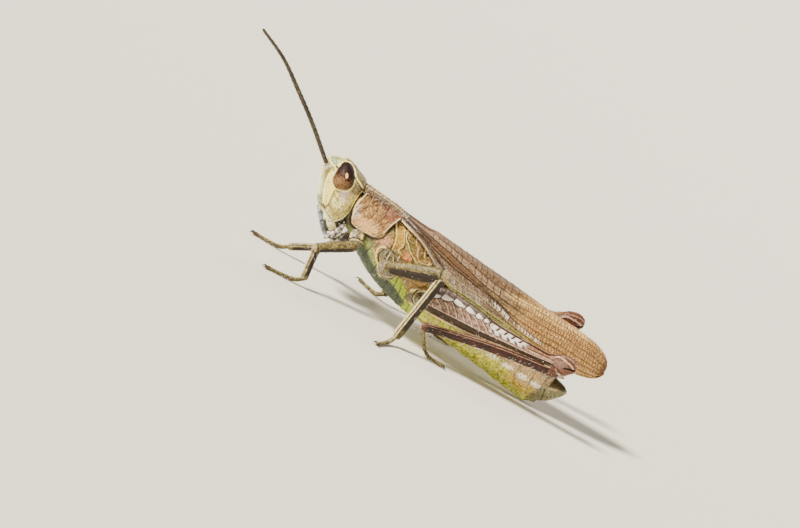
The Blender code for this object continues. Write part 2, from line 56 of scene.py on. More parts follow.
def lean(points):  # turns body directions into world directions
    p = np.atleast_2d(np.array(points, float))
    x = p[:, 0] * math.cos(leanTurn) + p[:, 2] * math.sin(leanTurn)
    z = -p[:, 0] * math.sin(leanTurn) + p[:, 2] * math.cos(leanTurn)
    return np.stack([x, p[:, 1], z], 1)


eyeCorners = [corner for name in ("eye_left", "eye_right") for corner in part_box(name)]
eyeMiddle = np.array(sum(eyeCorners, Vector())) / len(eyeCorners)
eyeOnBody = (bodyPlace["eyeCentre"][0], 0.0, bodyPlace["eyeCentre"][2])
bodyShift = eyeMiddle - lean(eyeOnBody)[0] * 0.001


def toWorld(points):
    return lean(points) * 0.001 + bodyShift


def floorPoint(x, y, lift):  # a point that is lift above the floor
    level = bodyPlace["footLevel"] + x * math.tan(leanTurn)
    return (x, y, level + lift / math.cos(leanTurn))


print("frame: body shift in mm", np.round(bodyShift * 1000, 3))


def pchip(x, y, at):  # smooth values through stations, with no overshoot
    x = np.array(x, float)
    y = np.array(y, float).reshape(len(x), -1)
    step = np.diff(x)
    slope = np.diff(y, axis=0) / step[:, None]
    tangent = np.zeros_like(y)
    tangent[0] = slope[0]
    tangent[-1] = slope[-1]
    if len(x) > 2:
        before = slope[:-1]
        after = slope[1:]
        one = (2 * step[1:] + step[:-1])[:, None]
        two = (step[1:] + 2 * step[:-1])[:, None]
        alike = before * after > 0
        safeBefore = np.where(alike, before, 1.0)
        safeAfter = np.where(alike, after, 1.0)
        tangent[1:-1] = np.where(alike, (one + two) / (one / safeBefore + two / safeAfter), 0.0)
    at = np.array(at, float)
    k = np.clip(np.searchsorted(x, at, "right") - 1, 0, len(x) - 2)
    t = ((at - x[k]) / step[k])[:, None]
    h = step[k][:, None]
    value = (2 * t**3 - 3 * t**2 + 1) * y[k] + (t**3 - 2 * t**2 + t) * h * tangent[k]
    return value + (-2 * t**3 + 3 * t**2) * y[k + 1] + (t**3 - t**2) * h * tangent[k + 1]


def stationTable(stations, count, sizes):  # station rows at even steps of travel over the outline
    table = np.array(stations, float)
    dense = np.linspace(table[0, 0], table[-1, 0], 800)
    values = np.column_stack([dense, pchip(table[:, 0], table[:, 1:], dense)])
    travel = np.abs(np.diff(values[:, [0] + list(sizes)], axis=0)).sum(1)
    run = np.concatenate([[0], np.cumsum(travel)])
    at = np.interp(np.linspace(0, run[-1], count), run, dense)
    return np.column_stack([at, pchip(table[:, 0], table[:, 1:], at)])


def evenRing(ring, count):  # the same closed ring with its points evenly spaced
    closed = np.vstack([ring, ring[:1]])
    run = np.concatenate([[0], np.cumsum(np.linalg.norm(np.diff(closed, axis=0), axis=1))])
    at = np.linspace(0, run[-1], count, endpoint=False)
    return np.column_stack([np.interp(at, run, closed[:, k]) for k in range(closed.shape[1])])


# rounded-square sections as (level, point, side and up); each starts at its top
def ovalRings(half, middle, top, low, topPower, lowPower, around):
    angle = np.linspace(0, 2 * math.pi, around * 6, endpoint=False)
    rings = []
    for h, m, t, b, p, q in zip(half, middle, top, low, topPower, lowPower):
        power = np.where(np.cos(angle) > 0, p, q)
        reach = np.where(np.cos(angle) > 0, t - m, m - b)
        side = h * np.sign(np.sin(angle)) * np.abs(np.sin(angle)) ** (2 / power)
        up = m + reach * np.sign(np.cos(angle)) * np.abs(np.cos(angle)) ** (2 / power)
        rings.append(evenRing(np.column_stack([side, up]), around))
    return np.array(rings)


# sections across the body: x, half width, top, widest height, low, powers and lean
def bodyRings(stations, widen, levels, around):
    rows = stationTable(stations, levels, (1, 2, 4))
    flat = ovalRings(rows[:, 1] * widen, rows[:, 3], rows[:, 2], rows[:, 4], rows[:, 5], rows[:, 6], around)
    x = rows[:, 0][:, None] - rows[:, 7:] * flat[:, :, 1]
    return np.stack([x, flat[:, :, 0], flat[:, :, 1]], 2)


def limbFrame(start, end, up):
    start = np.array(start, float)
    axis = np.array(end, float) - start
    length = np.linalg.norm(axis)
    axis = axis / length
    upward = np.array(up, float)
    upward = upward - (upward @ axis) * axis
    upward = upward / np.linalg.norm(upward)
    return start, axis, upward, np.cross(axis, upward), length


# sections along a straight or slightly bowed limb; also gives share, height and side of each point
def limbRings(start, end, up, stations, levels, around, bow=0.0):
    origin, axis, upward, sideways, length = limbFrame(start, end, up)
    table = np.array(stations, float)
    table[:, 0] *= length
    rows = stationTable(table, levels, (1, 2, 3))
    flat = ovalRings(rows[:, 3], rows[:, 0] * 0, rows[:, 1], -rows[:, 2], rows[:, 4], rows[:, 4], around)
    share = rows[:, 0] / length
    centre = origin + axis * rows[:, 0][:, None] + upward * (bow * 4 * share * (1 - share))[:, None]
    rings = centre[:, None] + sideways * flat[:, :, 0:1] + upward * flat[:, :, 1:2]
    high = flat[:, :, 1] / np.where(flat[:, :, 1] > 0, rows[:, 1][:, None], rows[:, 2][:, None])
    out = flat[:, :, 0] / rows[:, 3][:, None]
    return rings, np.repeat(share[:, None], around, 1), high, out


def smoothPath(points, count):  # an even run of points on a smooth curve through the given ones
    p = np.array(points, float)
    padded = np.vstack([2 * p[0] - p[1], p, 2 * p[-1] - p[-2]])
    out = []
    for k in range(len(p) - 1):
        a, b, c, d = padded[k : k + 4]
        t = np.linspace(0, 1, 40, endpoint=False)[:, None]
        mid = (c - a) * t + (2 * a - 5 * b + 4 * c - d) * t**2 + (3 * b - a - 3 * c + d) * t**3
        out.append(0.5 * (2 * b + mid))
    dense = np.vstack(out + [p[-1:]])
    run = np.concatenate([[0], np.cumsum(np.linalg.norm(np.diff(dense, axis=0), axis=1))])
    at = np.linspace(0, run[-1], count)
    return np.column_stack([np.interp(at, run, dense[:, k]) for k in range(p.shape[1])])


# a tube along a path; radii are (share, radius); also gives share and angle of each point
def tubeRings(points, radii, levels, around, up=(0, 0, 1), flatten=1.0):
    path = smoothPath(points, levels)
    forward = np.gradient(path, axis=0)
    forward /= np.linalg.norm(forward, axis=1)[:, None]
    upward = np.array(up, float) - (forward @ np.array(up, float))[:, None] * forward
    upward /= np.linalg.norm(upward, axis=1)[:, None]
    sideways = np.cross(forward, upward)
    table = np.array(radii, float)
    share = np.linspace(0, 1, levels)
    radius = pchip(table[:, 0], table[:, 1], share)
    angle = np.linspace(0, 2 * math.pi, around, endpoint=False)
    ring = sideways[:, None] * np.sin(angle)[None, :, None]
    ring = ring + upward[:, None] * np.cos(angle)[None, :, None] * flatten
    rings = path[:, None] + ring * radius[:, None]
    return rings, np.repeat(share[:, None], around, 1), np.repeat(angle[None], levels, 0)


def roundEnds(rings, startReach, endReach, steps=7):  # domes over both ends of a run of rings
    parts = [rings]
    for which, reach in ((0, startReach), (-1, endReach)):
        edge = rings[which]
        centre = edge.mean(0)
        inner = rings[1 if which == 0 else -2].mean(0)
        way = centre - inner
        way = way / max(np.linalg.norm(way), 1e-9)
        turn = np.linspace(0, math.pi / 2, steps + 1)[1:-1]
        dome = [centre + (edge - centre) * math.cos(a) + way * reach * math.sin(a) for a in turn]
        if which == 0:
            parts.insert(0, np.array(dome[::-1]))
        else:
            parts.append(np.array(dome))
    return np.concatenate(parts)


# repeats the first and last row of a field over the domes that roundEnds adds
def withEnds(field, steps=7):
    first = np.repeat(field[:1], steps - 1, 0)
    last = np.repeat(field[-1:], steps - 1, 0)
    return np.concatenate([first, field, last])


# a shell for shellMesh: its rings and masks with both ends
def domed(rings, startReach, endReach, masks, steps=7):
    shell = roundEnds(rings, startReach, endReach, steps)
    return shell, {key: withEnds(field, steps) for key, field in masks.items()}


def outward(rings):  # unit normals of a closed run of rings
    along = np.gradient(rings, axis=0)
    across = np.roll(rings, -1, 1) - np.roll(rings, 1, 1)
    normal = np.cross(along, across)
    normal /= np.maximum(np.linalg.norm(normal, axis=2, keepdims=True), 1e-12)
    centre = rings.mean(1, keepdims=True)
    if np.sum(normal * (rings - centre)) < 0:
        normal = -normal
    return normal


def axes(rings):
    return rings[:, :, 0], rings[:, :, 1], rings[:, :, 2]


def raised(rings, height):  # moves every point out along its normal by the height given there
    return rings + outward(rings) * height[:, :, None]


def unit(value):
    return np.clip(value, 0, 1)


def near(value, at, width):  # 1 at a value, falling smoothly to 0 on both sides of it
    return np.exp(-(((value - at) / width) ** 2))


def fade(value, low, high):  # 0 below low, 1 above high, smooth between
    t = unit((value - low) / (high - low))
    return t * t * (3 - 2 * t)


def hump(value, begin, full, leave, end):  # rises from begin to full, and falls from leave to end
    return fade(value, begin, full) * (1 - fade(value, leave, end))


def strongest(masks):
    return reduce(np.maximum, masks)


# distance from each point (u, v) to a line, and how far along the line the nearest place is
def lineGap(u, v, line, smooth=True):
    path = smoothPath(line, 24) if smooth and len(line) > 2 else np.array(line, float)
    best = np.full(u.shape, 1e9)
    place = np.zeros(u.shape)
    total = len(path) - 1
    for k in range(total):
        a = path[k]
        b = path[k + 1]
        way = b - a
        t = unit(((u - a[0]) * way[0] + (v - a[1]) * way[1]) / max(way @ way, 1e-12))
        gap = np.hypot(u - a[0] - t * way[0], v - a[1] - t * way[1])
        closer = gap < best
        best = np.where(closer, gap, best)
        place = np.where(closer, (k + t) / total, place)
    return best, place


def stroke(u, v, line, width, endWidth=None):  # 1 on a line, falling to 0 at its half width
    gap, place = lineGap(u, v, line)
    half = width + ((endWidth if endWidth is not None else width) - width) * place
    return 1 - fade(gap / half, 0.25, 1.0)


def patch(u, v, centre, radii, turn=0.0, soft=0.5):  # 1 inside an oval, falling to 0 outside it
    c = math.cos(math.radians(turn))
    s = math.sin(math.radians(turn))
    du = u - centre[0]
    dv = v - centre[1]
    a = (du * c + dv * s) / radii[0]
    b = (-du * s + dv * c) / radii[1]
    return 1 - fade(np.hypot(a, b), 1 - soft, 1 + soft)


def beyond(u, v, line, soft):  # 1 where v is above the line's v at that u
    path = np.array(sorted(line), float)
    return fade(v - np.interp(u, path[:, 0], path[:, 1]), -soft, soft)


def lumps(x, y, z, size, seed):  # smooth seeded waves, about -1 to 1, for small unevenness
    rng = np.random.default_rng(seed)
    total = np.zeros(np.shape(x))
    for _ in range(7):
        way = rng.normal(size=3)
        way = way / np.linalg.norm(way) * 2 * math.pi / size * rng.uniform(0.6, 1.6)
        total = total + np.sin(x * way[0] + y * way[1] + z * way[2] + rng.uniform(0, 6.28))
    return total / 3.5


# one mesh from closed runs of rings; each shell is (rings in mm, {mask name: field})
def shellMesh(name, shells):
    allPoints = []
    allFaces = []
    fields = {}
    start = 0
    for rings, masks in shells:
        levels, around = rings.shape[:2]
        ends = np.array([rings[0].mean(0), rings[-1].mean(0)])
        points = np.vstack([rings.reshape(-1, 3), ends])
        a = np.arange(levels - 1)[:, None] * around + np.arange(around)[None]
        b = np.arange(levels - 1)[:, None] * around + (np.arange(around) + 1)[None] % around
        quads = np.stack([a, b, b + around, a + around], 2).reshape(-1, 4)
        ring = np.arange(around)
        nextRing = (ring + 1) % around
        first = np.full(around, levels * around)
        headFan = np.stack([first, nextRing, ring], 1)
        last = (levels - 1) * around
        tailFan = np.stack([first + 1, last + ring, last + nextRing], 1)
        tri = np.concatenate([quads[:, [0, 1, 2]], quads[:, [0, 2, 3]], headFan, tailFan])
        p = points[tri]
        volume = np.einsum("ij,ij->i", p[:, 0], np.cross(p[:, 1], p[:, 2])).sum()
        if volume < 0:
            quads = quads[:, ::-1]
            headFan = headFan[:, ::-1]
            tailFan = tailFan[:, ::-1]
        allFaces += [quads + start, headFan + start, tailFan + start]
        allPoints.append(points)
        for key, field in masks.items():
            values = np.concatenate([field.reshape(-1), [field[0].mean(), field[-1].mean()]])
            fields.setdefault(key, []).append((start, values))
        start += len(points)
    points = toWorld(np.vstack(allPoints))
    corners = np.concatenate([f.reshape(-1) for f in allFaces])
    counts = np.concatenate([np.full(len(f), f.shape[1]) for f in allFaces])
    mesh = bpy.data.meshes.new(name)
    mesh.vertices.add(len(points))
    mesh.vertices.foreach_set("co", points.astype(np.float32).ravel())
    mesh.loops.add(len(corners))
    mesh.loops.foreach_set("vertex_index", corners.astype(np.int32))
    mesh.polygons.add(len(counts))
    mesh.polygons.foreach_set("loop_start", (np.cumsum(counts) - counts).astype(np.int32))
    mesh.polygons.foreach_set("loop_total", counts.astype(np.int32))
    mesh.update(calc_edges=True)
    mesh.validate()
    mesh.polygons.foreach_set("use_smooth", np.ones(len(mesh.polygons), bool))
    for key, runs in fields.items():
        whole = np.zeros(len(points), np.float32)
        for at, values in runs:
            whole[at : at + len(values)] = values
        mesh.attributes.new(key, "FLOAT", "POINT").data.foreach_set("value", whole)
    return mesh


def linked(name, data):  # a new object in the scene
    made = bpy.data.objects.new(name, data)
    bpy.context.scene.collection.objects.link(made)
    return made


# puts a finished mesh in the scene and ties it to the frame
def addPiece(name, mesh, material, nodes=()):
    piece = linked(name, mesh)
    piece.data.materials.clear()
    piece.data.materials.append(material)
    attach(piece, "root")
    if nodes:
        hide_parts(*nodes)
    return piece


def addShell(name, shells, material, nodes=()):
    return addPiece(name, shellMesh(name, shells), material, nodes)


bristles = {"spine": [], "hair": []}  # (root, way, length, root radius, u, v) of each one, filled piece by piece
hairPlan = {  # how many fine hairs a piece has, their length in mm and the seed that places them
    "head": (260, 0.13, 61), "back": (110, 0.3, 62), "lobe": (120, 0.14, 63), "thorax": (220, 0.24, 64),
    "abdomen": (260, 0.13, 65), "thigh": (130, 0.2, 66), "shin": (150, 0.28, 67),
    "walkingThigh": (60, 0.2, 68), "walkingShin": (80, 0.22, 69), "foot": (50, 0.13, 70),
}


# hairs at random places of a surface, more where the weight is high, bent toward lie
def scatterHairs(kind, rings, weight, lie, radius=0.008):
    count, length, seed = hairPlan[kind]
    rng = np.random.default_rng(seed)
    levels, around = rings.shape[:2]
    normal = outward(rings)
    step = np.linalg.norm(np.gradient(rings, axis=0), axis=2) * np.linalg.norm(np.gradient(rings, axis=1), axis=2)
    chance = unit(weight) * step
    chance[:2] = 0
    chance[-2:] = 0
    for pick in rng.choice(levels * around, count, p=(chance / chance.sum()).ravel()):
        i, j = divmod(int(pick), around)
        way = normal[i, j] * 0.8 + np.array(lie, float) + rng.normal(0, 0.18, 3)
        root = rings[i, j] - normal[i, j] * 0.01
        bristles["hair"].append((root, way, length * rng.uniform(0.6, 1.25), radius, j / around, i / levels))


def mirrored(rings):
    return rings * np.array([1.0, -1.0, 1.0])


def hexColour(code):  # an sRGB hex colour as linear numbers
    parts = [int(code[k : k + 2], 16) / 255 for k in (1, 3, 5)]
    return tuple(c / 12.92 if c <= 0.04045 else ((c + 0.055) / 1.055) ** 2.4 for c in parts) + (1.0,)


# adds one node with its settings, input values and incoming links; shader kinds go without their prefix
def addNode(tree, kind, values=None, links=None, **settings):
    plain = kind.startswith(("Node", "Geometry", "Function"))
    node = tree.nodes.new(kind if plain else "ShaderNode" + kind)
    for key, value in settings.items():
        setattr(node, key, value)
    for key, value in (values or {}).items():
        node.inputs[key].default_value = value
    for key, source in (links or {}).items():  # a node stands for its first output
        tree.links.new(getattr(source, "outputs", [source])[0], node.inputs[key])
    return node


def newMaterial(name):
    material = bpy.data.materials.new(name)
    material.use_nodes = True
    material.node_tree.nodes.clear()
    return material, material.node_tree


def fillRamp(ramp, places, codes):
    stops = ramp.color_ramp.elements
    for k, (at, code) in enumerate(zip(places, codes)):
        stop = stops[k] if k < 2 else stops.new(at)
        stop.position = at
        stop.color = hexColour(code)


grainLook = {  # sizes in mm; the real grain is finer, and is drawn as coarse as it needs to show
    "size": 0.12, "amount": 0.6, "height": 0.006, "pebble": 0.01,
}


# insect cuticle: mottled ground, masks painted over it in order, fine grain, then relief
def cuticle(name, look):
    material, tree = newMaterial(name)
    place = addNode(tree, "TexCoord").outputs["Object"]
    cloud = addNode(tree, "TexNoise", {"Scale": 1000 / look["mottle"], "Detail": 4.0, "Roughness": 0.6},
                    {"Vector": place})
    colour = addNode(tree, "ValToRGB", links={"Fac": cloud})
    fillRamp(colour, (0.37, 0.5, 0.63), look["ground"])
    ragged = addNode(tree, "TexNoise", {"Scale": 1000 / look.get("ragged", 0.09), "Detail": 3.0},
                     {"Vector": place})
    for key, code, amount, rough in look["layers"]:
        if ":" in key:  # a net of lines or round dots, the mask they lie in, and their spacing in mm
            kind, inside, size = key.split(":")
            where, feature, full, none = place, "F1", 0.18, 0.34
            if kind == "net":
                where = addNode(tree, "Mix", {"Factor": 0.00006}, {4: place, 5: ragged.outputs["Color"]},
                                data_type="VECTOR").outputs[1]
                feature, full, none = "DISTANCE_TO_EDGE", 0.05, 0.24
            cells = addNode(tree, "TexVoronoi", {"Scale": 1000 / float(size)}, {"Vector": where}, feature=feature)
            drawn = addNode(tree, "MapRange", {"From Min": full, "From Max": none, "To Min": 1.0, "To Max": 0.0},
                            {"Value": cells}, interpolation_type="SMOOTHSTEP")
            field = addNode(tree, "Attribute", attribute_name=inside).outputs["Fac"]
            mask = addNode(tree, "Math", links={0: drawn, 1: field}, operation="MULTIPLY")
        else:
            field = addNode(tree, "Attribute", attribute_name=key).outputs["Fac"]
            wave = addNode(tree, "Math", {1: 0.5}, {0: ragged}, operation="SUBTRACT")
            moved = addNode(tree, "Math", {1: rough * 2.5}, {0: wave, 2: field}, operation="MULTIPLY_ADD")
            mask = addNode(tree, "MapRange", {"From Min": 0.06, "From Max": 0.94}, {"Value": moved},
                           interpolation_type="SMOOTHSTEP")
        share = addNode(tree, "Math", {1: amount}, {0: mask}, operation="MULTIPLY")
        colour = addNode(tree, "Mix", {7: hexColour(code)}, {0: share, 6: colour}, data_type="RGBA").outputs[2]
    grain = addNode(tree, "TexNoise", {"Scale": 1000 / grainLook["size"], "Detail": 3.0, "Roughness": 0.65},
                    {"Vector": place})
    spread = addNode(tree, "MapRange", {"From Min": 0.34, "From Max": 0.66, "To Min": 0.08, "To Max": 0.92},
                     {"Value": grain})
    colour = addNode(tree, "Mix", {0: grainLook["amount"]}, {6: colour, 7: spread},
                     data_type="RGBA", blend_type="OVERLAY").outputs[2]
    low, high = look["gloss"]
    rough = addNode(tree, "MapRange", {"From Min": 0.3, "From Max": 0.7, "To Min": low, "To Max": high},
                    {"Value": cloud})
    pebbles = addNode(tree, "TexVoronoi", {"Scale": 1000 / grainLook["size"]}, {"Vector": place},
                      feature="SMOOTH_F1")
    bump = addNode(tree, "Bump", {"Strength": 1.0, "Distance": grainLook["pebble"] * 0.001}, {"Height": pebbles},
                   invert=True)
    bump = addNode(tree, "Bump", {"Strength": 1.0, "Distance": grainLook["height"] * 0.001},
                   {"Height": grain, "Normal": bump})
    shader = addNode(tree, "BsdfPrincipled",
                     {"IOR": look.get("ior", 1.46), "Coat Weight": look.get("coat", 0.0), "Coat Roughness": 0.18},
                     {"Base Color": colour, "Roughness": rough, "Normal": bump})
    addNode(tree, "OutputMaterial", links={"Surface": shader})
    return material


headLook = {  # waxed, hardened cuticle, moulded by growth: soft sheen, dotted and netted
    "mottle": 0.34,
    "ground": ("#988846", "#cbbb66", "#ece08c"),
    "layers": [
        ("occiput", "#62552c", 0.92, 0.35),
        ("behindEye", "#7a664a", 0.9, 0.6),
        ("genaWarm", "#b59a4a", 0.55, 0.6),
        ("netted", "#948640", 0.8, 0.6),
        ("net:netted:0.25", "#fff2a4", 0.9, 0),
        ("face", "#fff47c", 0.85, 0.4),
        ("lilac", "#eddde6", 0.9, 0.6),
        ("yellowStreak", "#f2c452", 0.9, 0.5),
        ("panel", "#868a50", 0.85, 0.5),
        ("panelTop", "#a8982a", 0.8, 0.5),
        ("greenPatch", "#7a9862", 0.9, 0.3),
        ("lowerCosta", "#aab894", 0.85, 0.4),
        ("costa", "#ffffc8", 0.97, 0.15),
        ("cream", "#fff7a4", 0.95, 0.2),
        ("darkLine", "#2a1f0c", 0.95, 0.25),
        ("dots:panel:0.15", "#4a4124", 0.75, 0),
        ("dots:face:0.17", "#6a6424", 0.85, 0),
        ("brownLine", "#4f3a14", 0.85, 0.3),
    ],
    "gloss": (0.32, 0.5), "coat": 0.07,
}
headSize = {"levels": 190, "around": 380, "widen": 1.15, "ridge": 0.045, "cut": 0.36}
headStations = [  # z, front, rear, half width, widest x, front power, rear power
    (-2.98, -1.0, -0.12, 0.62, -0.55, 2.2, 2.2),
    (-2.84, -1.28, 0.04, 0.8, -0.6, 2.3, 2.4),
    (-2.6, -1.58, 0.14, 0.88, -0.66, 2.3, 2.5),
    (-2.38, -1.78, 0.18, 0.94, -0.7, 2.3, 2.6),
    (-2.04, -1.98, 0.19, 0.98, -0.72, 2.3, 2.7),
    (-1.6, -2.2, 0.15, 1.0, -0.75, 2.2, 2.8),
    (-1.2, -2.44, 0.1, 0.98, -0.8, 2.0, 2.8),
    (-0.6, -2.66, 0.07, 0.9, -0.9, 1.9, 2.8),
    (-0.2, -2.62, 0.05, 0.8, -1.0, 1.9, 2.6),
    (0.02, -2.52, -0.04, 0.68, -1.0, 2.0, 2.4),
    (0.18, -2.32, -0.36, 0.5, -1.15, 2.0, 2.2),
    (0.28, -2.02, -0.78, 0.32, -1.3, 2.0, 2.0),
    (0.385, -1.8, -1.05, 0.24, -1.4, 2.0, 2.0),
]
eyeShape = {
    "centre": (-1.37, 0.7, -0.33), "half": (0.545, 0.56, 0.8), "lean": 30.0, "rake": -20.0,
    "foot": 2.9, "crown": 1.95,  # how square the eye is below and above its middle
    "broad": 0.15, "forward": 0.1,  # how much its foot is broader and further forward
}


def eyeTurn(side):
    lean = Matrix.Rotation(math.radians(eyeShape["lean"] * side), 3, "X")
    return lean @ Matrix.Rotation(math.radians(eyeShape["rake"]), 3, "Y")


def eyeBroad(rise):  # how much broader the eye is at this height, from -1 at its foot to 1 at its top
    return 1.0 + eyeShape["broad"] * fade(-rise, -0.6, 0.7)


def eyeForward(rise):
    return -eyeShape["forward"] * fade(-rise, -0.3, 0.9)


def eyeDepth(points, side):  # 1 on the eye's surface, more outside it
    local = (points - np.array(eyeShape["centre"]) * (1, side, 1)) @ np.array(eyeTurn(side))
    local = local / np.array(eyeShape["half"])
    rise = local[..., 2]
    power = np.where(rise < 0, eyeShape["foot"], eyeShape["crown"])
    across = np.hypot(local[..., 0] - eyeForward(rise), local[..., 1]) / eyeBroad(rise)
    return (across**power + np.abs(rise) ** power) ** (1 / power)


def makeHead():
    rows = stationTable(headStations, headSize["levels"], (1, 2, 3))
    flat = ovalRings(rows[:, 3] * headSize["widen"], rows[:, 4], rows[:, 1], rows[:, 2], rows[:, 5], rows[:, 6],
                     headSize["around"])
    z = np.repeat(rows[:, 0][:, None], headSize["around"], 1)
    cheekEdge = np.interp(flat[:, :, 1], [-1.7, -1.2, -0.75, -0.08, 0.2], [-2.36, -2.5, -2.68, -2.93, -3.2])
    inward = 1 - headSize["cut"] * fade(cheekEdge - z, 0.0, 0.05)  # the jaws lie under the cheeks' edge
    rings = roundEnds(np.stack([flat[:, :, 1], flat[:, :, 0] * inward, z], 2), 0.05, 0.05, 9)
    x, y, z = axes(rings)
    side = np.abs(y)
    forward = fade(-outward(rings)[:, :, 0], 0.1, 0.6)
    eye = np.minimum(eyeDepth(rings, 1), eyeDepth(rings, -1))
    rim = hump(eye, 1.0, 1.03, 1.1, 1.17)
    clear = fade(eye, 1.04, 1.14)

    def sideLine(line, half, off, endHalf=None):  # a line on the sides, no nearer than off to the middle
        return stroke(x, z, line, half, endHalf) * (side > off)

    carinaLine = [(-2.12, -0.62), (-2.12, -0.95), (-1.95, -1.47), (-1.66, -1.94), (-1.3, -2.42)]
    carina = sideLine(carinaLine, 0.11, 0.3, 0.13)
    costaEdge = 0.15 + 0.04 * fade(-z, 0.6, 2.6)
    costaSpan = hump(-z, 0.28, 0.42, 2.52, 2.62) * (x < -1.0)
    costa = (1 - fade(side, costaEdge + 0.05, costaEdge + 0.1)) * costaSpan
    sink = hump(side, costaEdge, costaEdge + 0.08, 0.32, 0.8) * fade(-z, 0.4, 0.75)
    sink = sink * (1 - fade(-z, 2.45, 2.62)) * (x < -1.0)
    margin = near(side, costaEdge, 0.035) * costaSpan
    subocular = sideLine([(-1.4, -1.3), (-1.21, -1.99), (-1.19, -2.5)], 0.05, 0.5)
    rearLine = [(-0.3, -2.8), (-0.08, -2.56), (0.06, -2.15), (0.07, -1.67), (-0.03, -1.27), (-0.06, -0.83),
                (0.0, -0.44)]
    rearEdge = sideLine(rearLine, 0.085, 0.35)
    rearX = np.interp(z, [p[1] for p in rearLine], [p[0] for p in rearLine])
    # painted shade: the head behind its rear rim, in the gap to the pronotum, is darkened
    rearGapShade = fade(x - rearX, 0.04, 0.08) * (z < -0.2)
    rearGroove = stroke(x + 0.11, z, rearLine, 0.05) * (side > 0.4)
    genaFront = sideLine([(-1.17, -2.49), (-0.75, -2.62), (-0.15, -2.84)], 0.07, 0.4)
    genaDark = sideLine([(-1.28, -2.5), (-0.8, -2.7), (-0.12, -2.96)], 0.1, 0.3)
    post = [(-1.72, 0.27), (-1.45, 0.24), (-1.05, 0.12), (-0.75, -0.02), (-0.39, -0.16), (-0.02, -0.34)]
    postLine = sideLine(post, 0.075, 0.3)
    postDark = stroke(x, z + 0.075, post[2:], 0.05) * (side > 0.3)
    vertexRim = sideLine([(-2.75, -0.1), (-2.5, -0.18), (-2.26, -0.23), (-2.06, -0.26)], 0.055, 0.2)
    browRim = sideLine([(-2.14, 0.29), (-2.05, 0.0), (-2.07, -0.33)], 0.05, 0.3)
    spot = patch(x, z, (-2.04, -0.17), (0.09, 0.08), 0, 0.3) * (side > 0.3)  # the side simple eye
    foveola = patch(x, z, (-2.24, 0.0), (0.24, 0.12), 10) * (side > 0.25)
    midline = near(y, 0, 0.025) * (x > -2.5) * (x < -0.2) * (z > 0)
    suture = near(z, -2.6, 0.03) * forward

    lateral = np.interp(z, [-2.5, -2.42, -1.94, -1.47, -0.95, -0.5, -0.3],
                        [-1.28, -1.3, -1.66, -1.95, -2.12, -2.16, -2.2])
    panel = fade(lateral - x, 0.03, 0.1) * fade(side - costaEdge, 0.03, 0.08) * (z < -0.45) * (z > -2.6)
    subocularX = np.interp(z, [-2.6, -2.46, -1.99, -1.37, -1.1], [-1.19, -1.19, -1.21, -1.37, -1.45])
    gena = fade(x - subocularX, 0.0, 0.1) * fade(-z, 1.15, 1.4) * (1 - rearEdge) * clear
    face = fade(x - lateral, 0.05, 0.1) * (1 - fade(x - subocularX, -0.05, 0.05)) * fade(-z, 0.6, 0.9)
    occiput = beyond(x, z, [(-2.8, 0.5), (-1.9, 0.42), (-1.45, 0.34), (-1.05, 0.2), (-0.39, -0.1), (0.1, -0.32)],
                     0.04)
    behind = patch(x, z, (-0.45, -0.5), (0.42, 0.3), -30, 0.35) * clear * (1 - occiput)
    lilac = patch(x, z, (-0.82, -1.06), (0.5, 0.24), -48, 0.5) * clear
    streak = patch(x, z, (-0.52, -1.24), (0.36, 0.1), -53, 0.5) * clear

    height = (headSize["ridge"] * (carina + 0.75 * rim + 0.8 * margin + 0.5 * vertexRim + 0.5 * browRim)
        + 0.04 * rim * fade(z, 0.02, 0.16) + 0.022 * (genaFront + postLine) + 0.03 * rearEdge + 0.012 * midline
        - 0.03 * subocular - 0.03 * rearGroove - 0.035 * foveola - 0.03 * suture - 0.02 * postDark
        - 0.02 * costa * (1 - margin) - 0.24 * sink - 0.03 * panel + 0.006 * lumps(x, y, z, 0.35, 3) * clear
        + 0.004 * lumps(x, y, z, 0.12, 4) * clear)
    masks = {
        "costa": costa * (z > -2.2), "lowerCosta": costa * fade(-z, 2.0, 2.3), "panel": panel,
        "panelTop": panel * (1 - fade(-z, 0.9, 1.3)),
        "netted": gena * patch(x, z, (-0.88, -1.6), (0.62, 0.44), -54, 0.3), "face": face, "occiput": occiput,
        "genaWarm": gena * patch(x, z, (-0.55, -1.95), (0.4, 0.45)), "behindEye": behind, "lilac": lilac,
        "yellowStreak": streak, "greenPatch": patch(x, z, (-2.24, 0.0), (0.3, 0.2), 10) * (side > 0.1),
        "cream": unit(carina + rim + rearEdge + 0.7 * genaFront + postLine + vertexRim + browRim),
        "darkLine": unit(suture + postDark + rearGroove * 0.35 + rearGapShade + spot + genaDark
                         + sideLine([(-1.36, -2.36), (-1.2, -2.52)], 0.12, 0.3)),
        "brownLine": unit(subocular + 0.8 * near(side - costaEdge, 0.075, 0.03) * costaSpan
                          + midline * 0.6) * clear,
    }
    scatterHairs("head", rings, clear * (z < 0.1), (0, 0, -0.5))
    addShell("head_capsule", [(raised(rings, height), masks)], cuticle("waxedHeadCuticle", headLook),
             ["head"])


makeHead()
print("head: done")

eyeLook = {  # a compound eye: thousands of clear lens facets over dark pigment, smooth and softly shining
    # the pale colour is a painted highlight, mixed in over the pale spot
    "footToCrown": ("#80603c", "#80603c", "#3a1a0e", "#1a0c0e", "#150b10"), "pale": "#fbdc96",
    "fleck": "#3a1c10", "fleckGap": 0.11, "mottle": 0.17, "levels": 110, "around": 150,
    "facet": 0.045,  # the real facets are about 0.02 mm; drawn coarser so that they show
}


